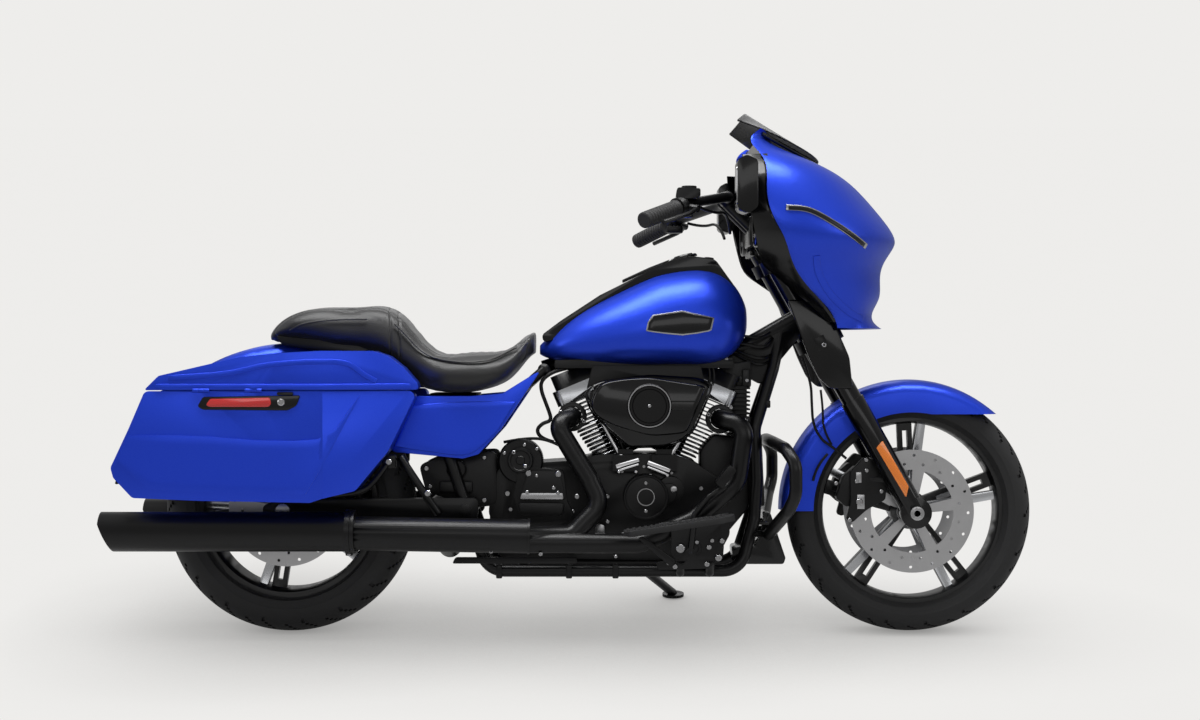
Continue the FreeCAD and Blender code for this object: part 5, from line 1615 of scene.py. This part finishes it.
    def shock_springs(self) -> None:
        """Coil springs round both shocks."""
        bench = self.bench
        foot, head = Vector((-628, 112, 345)), Vector((-560, 112, 600))
        along = (head - foot).normalized()
        across = along.orthogonal().normalized()
        out = along.cross(across)
        steps_round, steps, coil_radius = 12, 108, 25
        coils = []
        for side in (RIGHT, LEFT):
            turns = []
            for step in range(steps + 1):
                angle = math.tau * step / steps_round
                spot = (foot.lerp(head, 0.16 + 0.62 * step / steps)
                        + (across * math.cos(angle) + out * math.sin(angle)) * coil_radius)
                turns.append((spot.x, side * spot.y, spot.z))
            coils.append(bench.wire(turns, 4.5, rings=2))
        bench.settle(coils, "shock_springs", "satin_black")

    def looms(self) -> None:
        """Clipped cables under the tank, behind the rear head and at the steering neck."""
        bench = self.bench
        routes = [
            ([(-34, -60, 700), (-104, -90, 691), (-148, -95, 667), (-156, -95, 641), (-134, -95, 585),
              (-125, -95, 556), (-150, -95, 549), (-166, -95, 530), (-150, -93, 508),
              (-120, -90, 500)], 5),
            ([(340, -30, 760), (380, -40, 757), (415, -44, 746), (440, -40, 752), (452, -20, 772)], 5),
            ([(335, -34, 776), (380, -44, 778), (420, -46, 768), (446, -24, 786)], 3.5),
            ([(352, -26, 742), (392, -40, 722), (430, -44, 716), (450, -24, 726)], 4.5),
            ([(352, -20, 730), (394, -34, 706), (430, -38, 700), (448, -20, 712)], 3.5),
            ([(282, -86, 700), (288, -92, 676), (284, -92, 652)], 3),
            ([(292, -86, 700), (299, -92, 676), (295, -92, 652)], 3),
            ([(-250, -97, 500), (-190, -97, 512), (-130, -97, 506), (-96, -92, 486)], 4),
        ]
        cables = [bench.wire(points, radius, rings=3) for points, radius in routes]
        clutter = [bench.block((372, -58, 640), (392, -34, 690), 4),
                   bench.block((362, -52, 652), (376, -38, 672), 3),
                   bench.block((372, -84, 548), (392, -64, 566), 3),
                   bench.block((424, -58, 588), (446, -36, 608), 3),
                   bench.block((300, -60, 706), (350, -36, 722), 4)]
        bench.settle(cables + clutter, "clipped_looms", "satin_black")
        tips = bench.bolts([(384, -58, 660, 5), (380, -84, 556, 5), (330, -60, 716, 5),
                            (-10, -66, 697, 5), (340, -96, 590, 5)])
        bench.settle(tips, "loom_screws", "steel")


# Side outlines of the air cleaner's back and of its raised face.
CLEANER_BACK = [(-45, 633), (0, 660), (126, 676), (258, 668), (292, 652), (290, 634), (246, 530),
                (218, 505), (175, 487), (72, 484), (50, 505), (-26, 578)]
CLEANER_FACE = [(-14, 638), (6, 658), (60, 667), (126, 671), (274, 648), (268, 632), (226, 531),
                (211, 524), (133, 517), (36, 544), (-13, 569), (-29, 598)]


@dataclass
class Engine:
    """The engine's covers, tubes, bolts, mounts, air cleaner and exhaust fittings."""

    bench: Workbench

    def build(self) -> None:
        """Make every engine piece."""
        self.air_cleaner()
        self.pushrods()
        self.right_covers()
        self.left_covers()
        self.exhaust_fittings()
        self.front_mounts()

    def layered(self, outline: Outline, levels: Outline, radius: float) -> Piece:
        """Return a moulded cover: an outline drawn in by shares at successive depths.

        Args:
            outline: The corners in x and z.
            levels: Pairs of a depth and the outline's share there.
            radius: How far from a corner its curve starts.

        Returns:
            The cover.
        """
        base = rounded(outline, radius, 6)
        sections = [[(x, y, z) for x, z in scaled(base, share)] for y, share in levels]
        return self.bench.loft(sections)

    def air_cleaner(self) -> None:
        """The two-stepped cover with a ring round its bare middle."""
        bench = self.bench
        back = self.layered(CLEANER_BACK, ((-98, 0.99), (-100, 1.0), (-112, 1.0), (-116, 0.99),
                                           (-118, 0.965), (-152, 0.93), (-158, 0.915),
                                           (-160, 0.88)), 26)
        face = self.layered(CLEANER_FACE, ((-140, 1.0), (-182, 0.985), (-190, 0.975), (-195, 0.955),
                                           (-197, 0.92)), 24)
        cap = bench.lathe([(196, 0), (196, 57), (203, 57), (206, 55), (206, 52), (203, 50.5),
                           (201, 49), (201, 44), (203, 42), (203, 0)], (126, 0, 596), 72, TO_RIGHT)
        studs = bench.bolts([(x, -100, 616, 9) for x in (14, 222)])
        bench.settle([back, face, cap, studs], "air_cleaner_cover", "gloss_black",
                     replaces="air_cleaner", angle=40)
        ring = bench.lathe([(203, 50.8), (206.8, 52), (206.8, 54.5), (203, 56)], (126, 0, 596), 72,
                           TO_RIGHT)
        screws = bench.bolts([(126, -204, 596, 4)])
        bench.settle([ring, screws], "air_cleaner_ring", "steel")
        slots = [bench.block((178, -199.5, z - 1.6), (end, -196, z + 1.6), 0.6)
                 for z, end in ((608, 250), (587, 228))]
        bench.settle(slots, "air_cleaner_slots", "satin_black")

    def pushrods(self) -> None:
        """Bright tubes up to the heads and the two slanted blocks at their feet."""
        bench, parts = self.bench, []
        for foot, head, middle, slant in (((54, 462), (-2, 566), (71, 447), -17),
                                          ((176, 452), (230, 548), (152, 438), 22)):
            parts.append(bench.cylinder((foot[0], -104, foot[1]), (head[0], -98, head[1]), 6.5))
            parts.append(bench.cylinder((foot[0], -104, foot[1] - 6), (foot[0], -104, foot[1] + 8),
                                        10, 1.5))
            for drop, wide, tall in ((0, 31, 5.5), (11, 27, 3)):
                slab = bench.block((-wide, -124, -tall - drop), (wide, -100, tall - drop), 1.6)
                slab.data.transform(Matrix.Translation((middle[0], 0, middle[1]))
                                    @ Matrix.Rotation(math.radians(slant), 4, "Y"))
                parts.append(slab)
            parts.append(bench.bolts([(middle[0] - 22, -124, middle[1] - 22, 4),
                                      (middle[0] + 22, -124, middle[1] - 22, 4)]))
        blocks = bench.cad_copy("pushrods", 0.0)
        bench.settle(parts, "pushrod_tubes", "bright_chrome")
        bench.fit(blocks, "pushrod_blocks", "wrinkle_black", replaces="pushrods")

    def right_covers(self) -> None:
        """The starter's housing, the cam cover's rings, the gearbox cover and their bolts."""
        bench = self.bench
        starter = bench.lathe([(60, 0), (60, 58), (122, 58), (128, 54), (128, 0)], (-205, 0, 452), 56,
                              TO_RIGHT)
        rings = [starter,
                 bench.lathe([(150, 58), (153, 56), (153, 53), (150, 51)], (118, 0, 361), 64, TO_RIGHT),
                 bench.lathe([(142, 33), (146, 31), (146, 26), (144, 24), (144, 12), (146, 10),
                              (146, 0), (142, 0)], (-205, 0, 455), 48, TO_RIGHT)]
        gear = [(-186, 428), (-103, 428), (-86, 352), (-208, 352)]
        lower = [(-212, 346), (-90, 346), (-96, 312), (-206, 312)]
        tail = [(150, 392), (188, 398), (200, 380), (196, 352), (160, 330)]
        rings += [bench.slab(gear, 14, -137, -130, 2), bench.slab(lower, 12, -141, -128, 4),
                  bench.slab(tail, 10, -146, -136, 3)]
        bench.settle(rings, "engine_cover_steps", "wrinkle_black")
        bright = [bench.slab([(-202, 371), (-96, 371), (-94, 354), (-206, 354)], 5, -139, -133, 1.5),
                  bench.lathe([(150.5, 20), (153, 20.5), (153, 22.5), (150.5, 23)], (118, 0, 361), 48,
                              TO_RIGHT),
                  bench.cylinder((190, -136, 381), (190, -150, 381), 9, 3),
                  bench.slab([(-12, 282), (-6, 288), (6, 288), (12, 282), (13, 262), (-13, 262)], 4,
                             -106, -97, 1.5)]
        places = [(118, -150, 397, 4.5), (118, -150, 325, 4.5), (-184, -138, 422, 8),
                  (-107, -138, 420, 8), (-163, -138, 415, 4), (-119, -138, 384, 5),
                  (-188, -140, 373, 5), (-108, -140, 371, 5), (-240, -97, 367, 7),
                  (-232, -97, 326, 5.5), (-60, -97, 359, 6.5), (-71, -97, 320, 5), (20, -97, 359, 5),
                  (20, -97, 294, 5), (-222, -145, 476, 5), (-192, -145, 440, 5), (-247, -129, 473, 4.5),
                  (-195, -129, 494, 4.5), (-163, -129, 484, 4.5), (-244, -97, 436, 4),
                  (114, -97, 437, 4.5), (58, -97, 424, 4), (186, -97, 420, 4), (-150, -97, 262, 4),
                  (60, -97, 262, 4.5), (170, -97, 262, 4.5), (250, -97, 300, 5), (262, -97, 380, 5)]
        bench.settle(bright + [bench.bolts(places)], "engine_bolts", "steel")

    def left_covers(self) -> None:
        """The primary cover's two hatches and its bolts."""
        bench = self.bench
        hatch = bench.lathe([(184, 62), (190, 60), (192, 55), (192, 0), (184, 0)], (110, 0, 352), 64,
                            TO_LEFT)
        small = bench.slab([(-150, 300), (-60, 300), (-60, 360), (-150, 360)], 16, 166, 176, 3)
        bench.settle([hatch, small], "primary_hatches", "wrinkle_black")
        ring = [(110 + 46 * math.cos(turn), 191, 352 + 46 * math.sin(turn), 5)
                for turn in (math.radians(72 * step + 18) for step in range(5))]
        rim = [(-280, 168, 330, 4.5), (-276, 168, 386, 4.5), (-180, 168, 418, 4.5),
               (-60, 168, 430, 4.5), (60, 168, 446, 4.5), (190, 168, 426, 4.5), (226, 168, 360, 4.5),
               (214, 168, 290, 4.5), (120, 168, 250, 4.5), (0, 168, 244, 4.5), (-140, 168, 238, 4.5),
               (-250, 168, 262, 4.5), (-140, 175, 310, 4), (-70, 175, 350, 4), (-70, 175, 310, 4),
               (-140, 175, 350, 4)]
        bench.settle(bench.bolts(ring + rim, LEFT), "primary_bolts", "steel")

    def front_mounts(self) -> None:
        """The engine's front mount, the finned regulator, and shield and rails under the tank."""
        bench = self.bench
        mount = bench.slab([(262, 480), (300, 520), (384, 505), (392, 330), (330, 258), (262, 290)], 14,
                           -56, 56, 5)
        fins = [bench.block((332, -70, z), (392, 70, z + 5), 1.5) for z in range(516, 640, 11)]
        body = bench.block((344, -62, 512), (384, 62, 646), 4)
        shield = bench.slab([(-36, 634), (-20, 700), (262, 700), (276, 634), (126, 668)], 10,
                            -95, -90, 2)
        rails = [bench.slab([(-118, 692), (-118, 713), (-60, 715), (320, 715), (348, 710), (348, 692)],
                            4, y, y + 5, 1.5) for y in (-93, 88)]
        bridge = bench.slab([(300, 650), (322, 702), (396, 712), (396, 640), (340, 636)], 10,
                            -50, 50, 4)
        bench.settle([mount, body, shield, bridge] + rails + fins, "front_mounts", "wrinkle_black")

    def exhaust_fittings(self) -> None:
        """Port flanges, clamps, the collector's seam and the mufflers' rims."""
        bench = self.bench
        rings, bolts = [], []
        for x, z in ((-72, 566), (312, 560)):
            rings.append(bench.lathe([(84, 26), (84, 38), (94, 38), (96, 34), (96, 26)], (x, 0, z), 40,
                                     TO_RIGHT))
            bolts += [(x - 30, -94, z + 12, 5), (x + 30, -94, z - 12, 5)]
        seams = [bench.lathe([(-3, 43.4), (-3, 45.2), (3, 45.2), (3, 43.4)], (-180, -243, 268.2), 56,
                             (-0.999, -0.02, 0.02))]
        for side in (RIGHT, LEFT):
            y = side * 255
            seams.append(bench.lathe([(-5, 50.5), (-5, 56.5), (7, 56.5), (9, 50.5)], (-634, y, 281), 64,
                                     AHEAD))
            seams.append(bench.block((-640, y - 8, 221), (-622, y + 8, 232), 2))
            bolts.append((-631, y + side * 8, 226, 4.5))
        bolts += [(-274, -262, 232, 5), (-150, -246, 224, 5), (40, -228, 216, 4)]
        bench.settle(rings + seams, "exhaust_clamps", "satin_black")
        bench.settle(bench.bolts(bolts), "exhaust_nuts", "steel")


# Heights on the fairing and half its width at each.
LEVELS = (795, 810, 850, 915, 958, 977, 1017, 1024, 1068, 1082, 1150, 1157, 1205, 1226)
WIDTHS = (185, 197, 234, 302, 340, 360, 392, 394, 400, 402, 385, 382, 350, 338)
# Dials and speakers: y, z and radius.
DIALS = ((-75, 1150, 42), (75, 1150, 42), (-162, 1140, 30), (162, 1140, 30), (-232, 1068, 66),
         (232, 1068, 66))


@dataclass
class Fork:
    """Lamps, linings, instruments, covers and lines that turn with the bars."""

    bench: Workbench
    lamp: Triple = (704, 0, 955)
    dash: float = 402
    grip_end: Triple = (112, 430, 1055)
    grip_bend: Triple = (224, 300, 1105)
    mirror: Triple = (334.4, 395, 1140)

    def mount(self, pieces: Piece | list[Piece], name: str, finish: str, replaces: str = "",
              angle: float = 32.0) -> None:
        """Settle pieces on the body that the bars turn."""
        self.bench.settle(pieces, name, finish, Body.FORK, replaces, angle)

    def build(self) -> None:
        """Make every piece of the steered front end."""
        self.headlamp()
        self.fairing()
        self.instruments()
        self.screen_trim()
        self.controls()
        for side, name in SIDES:
            self.leg_fittings(side, name)
        self.lines()

    def headlamp(self) -> None:
        """A bowl with a projector behind a domed glass in a black bezel."""
        bench, centre = self.bench, self.lamp
        bezel = bench.lathe([(-40, 84), (-40, 92), (6, 92), (14, 89), (16, 85), (10, 80), (-6, 79)],
                            centre, 72, AHEAD)
        bowl = bench.lathe([(-4, 80), (-30, 60), (-48, 34), (-52, 0), (-56, 0), (-52, 36), (-34, 63),
                            (-8, 84)], centre, 64, AHEAD)
        eye = bench.lathe([(-48, 0), (-48, 34), (-10, 34), (-6, 31), (-6, 27), (3, 20), (8, 8), (9, 0)],
                          centre, 48, AHEAD)
        self.mount(bezel, "headlamp_bezel", "gloss_black")
        self.mount([bowl, eye], "headlamp_bowl", "bright_chrome")
        glass = bench.lathe([(4, 81), (16, 74), (26, 56), (32, 30), (34, 0), (31, 0), (29, 29),
                             (23, 54), (13, 71), (1, 79)], centre, 64, AHEAD)
        self.mount(glass, "headlamp_glass", "lamp_glass", replaces="headlamp")

    def fairing(self) -> None:
        """The fairing's intake slits, screws, lower folds and black lining bands."""
        bench = self.bench
        shell = bench.upright_copy("fairing_outer")
        for side, name in SIDES:
            rim = bench.strip([(455, 1087), (516, 1081), (590, 1044), (667, 999)], 14, shell, side,
                              3.2, 1.0)
            self.mount(rim, f"fairing_slit_rim_{name}", "steel", angle=50)
            slit = bench.strip([(461, 1085.5), (516, 1080), (590, 1043.5), (660, 1002)], 10, shell,
                               side, 4.4, 0.8)
            self.mount(slit, f"fairing_slit_{name}", "satin_black", angle=50)
            screws = bench.bolts([(460, side * 300, 962, 5), (471, side * 290, 939, 5)], side)
            self.mount(screws, f"fairing_screws_{name}", "steel")
        for side, name in SIDES:
            fold = bench.strip([(536, 972), (546, 930), (580, 880), (630, 838), (676, 818)], 18, shell,
                               side, 2.2, 1.0)
            self.mount(fold, f"fairing_fold_{name}", "satin_blue", angle=60)
        outer = curved([(600, 810), (567, 850), (505, 915), (476, 958), (448, 1024), (424, 1068),
                        (410, 1157), (412, 1226)], 4)
        inner = curved([(588, 810), (543, 850), (455, 915), (406, 958), (388, 1024), (379, 1068),
                        (366, 1157), (358, 1226)], 4)
        for side, name in SIDES:
            sections = []
            for near, far in zip(outer, inner):
                width = self.width(near.y) - 10
                back = self.width(far.y) - 34
                corners = ((near.x + 4, width, near.y), (near.x - 4, width + 1, near.y),
                           (far.x, back + 3, far.y), (far.x - 4, back, far.y),
                           (far.x, back - 3, far.y), (near.x - 4, width - 5, near.y))
                sections.append([(x, side * y, z) for x, y, z in corners])
            band = bench.loft(sections)
            self.mount(band, f"fairing_lining_{name}", "gloss_black", angle=40)

    def width(self, level: float) -> float:
        """Return half the fairing's width at a height.

        Args:
            level: The height.

        Returns:
            Half the width there.
        """
        for index in range(len(LEVELS) - 1):
            if level <= LEVELS[index + 1]:
                share = (level - LEVELS[index]) / (LEVELS[index + 1] - LEVELS[index])
                return WIDTHS[index] + (WIDTHS[index + 1] - WIDTHS[index]) * max(0.0, share)
        return WIDTHS[-1]

    def instruments(self) -> None:
        """Four dials, a blank display, two speakers and the row of switches."""
        bench = self.bench
        faces, rings = [], []
        for y, z, radius in DIALS:
            faces.append(bench.lathe([(2, 0), (2, radius - 2), (-4, radius - 3), (-6, radius * 0.4),
                                      (-8, 0)], (self.dash, y, z), 56, AHEAD))
            rings.append(bench.lathe([(-2, radius - 3), (-2, radius + 4), (-10, radius + 4),
                                      (-13, radius), (-12, radius - 3)], (self.dash, y, z), 56, AHEAD))
        self.mount(rings, "dial_rings", "gloss_black")
        screen = bench.block((388, -86, 1010), (404, 86, 1088), 5)
        switches = [bench.block((390, y - 15, 984), (402, y + 15, 998), 3)
                    for y in (-72, -36, 0, 36, 72)]
        self.mount(faces + [screen] + switches, "dial_faces", "gloss_black")

    def screen_trim(self) -> None:
        """The black trim along the windscreen's base."""
        bench = self.bench
        base = [(405, -245, 1285), (450, -206, 1266), (510, -140, 1243), (556, -66, 1228),
                (572, 0, 1223)]
        whole = base + [(x, -y, z) for x, y, z in reversed(base[:-1])]
        trim = bench.wire([(x + 2, y * 1.004, z) for x, y, z in whole], 5.5)
        self.mount(trim, "screen_trim", "gloss_black")

    def controls(self) -> None:
        """The mirrors' glass, ribbed grips with bar ends, and the switch housings."""
        bench = self.bench
        glass = []
        for side in (RIGHT, LEFT):
            glass.append(bench.plate(rounded([(-34, -46), (34, -46), (34, 46), (-34, 46)], 12, 6),
                                     0, 1.6, 0.5))
            x, y, z = self.mirror
            glass[-1].data.transform(Matrix.Translation((x, side * y, z))
                                     @ Matrix.Rotation(math.pi / 2, 4, "Z"))
        self.mount(glass, "mirror_glass", "bright_chrome")
        profile = [(-10, 0), (-10, 17), (-8, 20), (-2, 20.5)]
        for step in range(11):
            profile += [(4 + step * 10, 19), (6 + step * 10, 20.6), (10 + step * 10, 20.6),
                        (12 + step * 10, 19)]
        profile += [(118, 21), (124, 20), (124, 13.5), (4, 13.5), (2, 0)]
        for side, name in SIDES:
            end, bend = (Vector((x, side * y, z)) for x, y, z in (self.grip_end, self.grip_bend))
            grip = bench.lathe(profile, end, 40, bend - end)
            self.mount(grip, f"ribbed_grip_{name}", "grip_rubber", replaces=f"grip_{name}")
        boxes = []
        for side in (RIGHT, LEFT):
            start = Vector((216, side * 309, 1101))
            boxes += [bench.block(start + Vector((-24, -18, 17)), start + Vector((34, 22, 40)), 5),
                      bench.cylinder(start + Vector((6, 0, 38)), start + Vector((6, 0, 46)), 19, 2, 32),
                      bench.block(start + Vector((-30, -14, -34)), start + Vector((16, 14, -12)), 5),
                      bench.wire([start + Vector((30, 0, -6)), start + Vector((70, -side * 40, -20)),
                                  start + Vector((110, -side * 110, -10)),
                                  start + Vector((120, -side * 190, -60))], 4)]
        self.mount(boxes, "switch_housings", "satin_black")

    def leg_fittings(self, side: int, name: str) -> None:
        """A leg's cover and reflector, and the caliper's bracket and bolts.

        Args:
            side: The side of the machine.
            name: That side's name.
        """
        bench = self.bench
        cover = bench.slab([(590, 640), (648, 640), (640, 720), (575, 868), (480, 868), (536, 720),
                            (560, 668)], 10, side * 150, side * 163, 3)
        lens = bench.slab([(708, 488), (724, 507), (791, 389), (784, 361)], 4,
                          side * 158, side * 166, 2)
        self.mount(cover, f"fork_cover_{name}", "gloss_black")
        self.mount(lens, f"fork_reflector_{name}", "amber_reflector_painted_glow")
        places = [(574, side * 163, 752, 6), (688, side * 122, 455, 5), (689, side * 122, 428, 5),
                  (663, side * 122, 400, 5), (610, side * 122, 395, 5), (670, side * 122, 347, 9),
                  (727, side * 122, 374, 5), (645, side * 122, 300, 5)]
        bracket = bench.slab([(646, 424), (684, 464), (702, 458), (742, 392), (738, 352), (690, 326),
                              (652, 292), (636, 300), (648, 346)], 8, side * 100, side * 119, 3)
        self.mount(bracket, f"caliper_bracket_{name}", "wrinkle_black")
        blocks = [bench.block((661, side * 108, 396), (676, side * 122, 424), 2),
                  bench.block((664, side * 108, 328), (684, side * 122, 366), 2)]
        self.mount([bench.bolts(places, side)] + blocks, f"caliper_bolts_{name}", "steel")

    def lines(self) -> None:
        """Brake lines clipped along the right leg."""
        bench = self.bench
        lines = [bench.wire([(525, -96, 720), (547, -100, 660), (549, -102, 600), (552, -104, 545),
                             (575, -106, 505), (603, -108, 488), (638, -108, 458)], 3.5),
                 bench.wire([(571, -112, 636), (577, -112, 590), (577, -110, 532), (600, -108, 494)], 3),
                 bench.wire([(590, -106, 470), (560, -106, 440), (552, -106, 400)], 3.5)]
        self.mount(lines, "brake_lines", "satin_black")


def main() -> None:
    """Build the machine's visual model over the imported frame."""
    logging.basicConfig(level=logging.INFO, format="%(message)s")
    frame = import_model()
    bench = Workbench(frame["record"], Palette(), frame["nodes"])
    Studio(bench).build()
    for maker in (CastForms, Wheels, Saddle, Bodywork, Engine, Fork):
        maker(bench).build()
    bench.sweep_up()


if __name__ == "__main__":
    main()
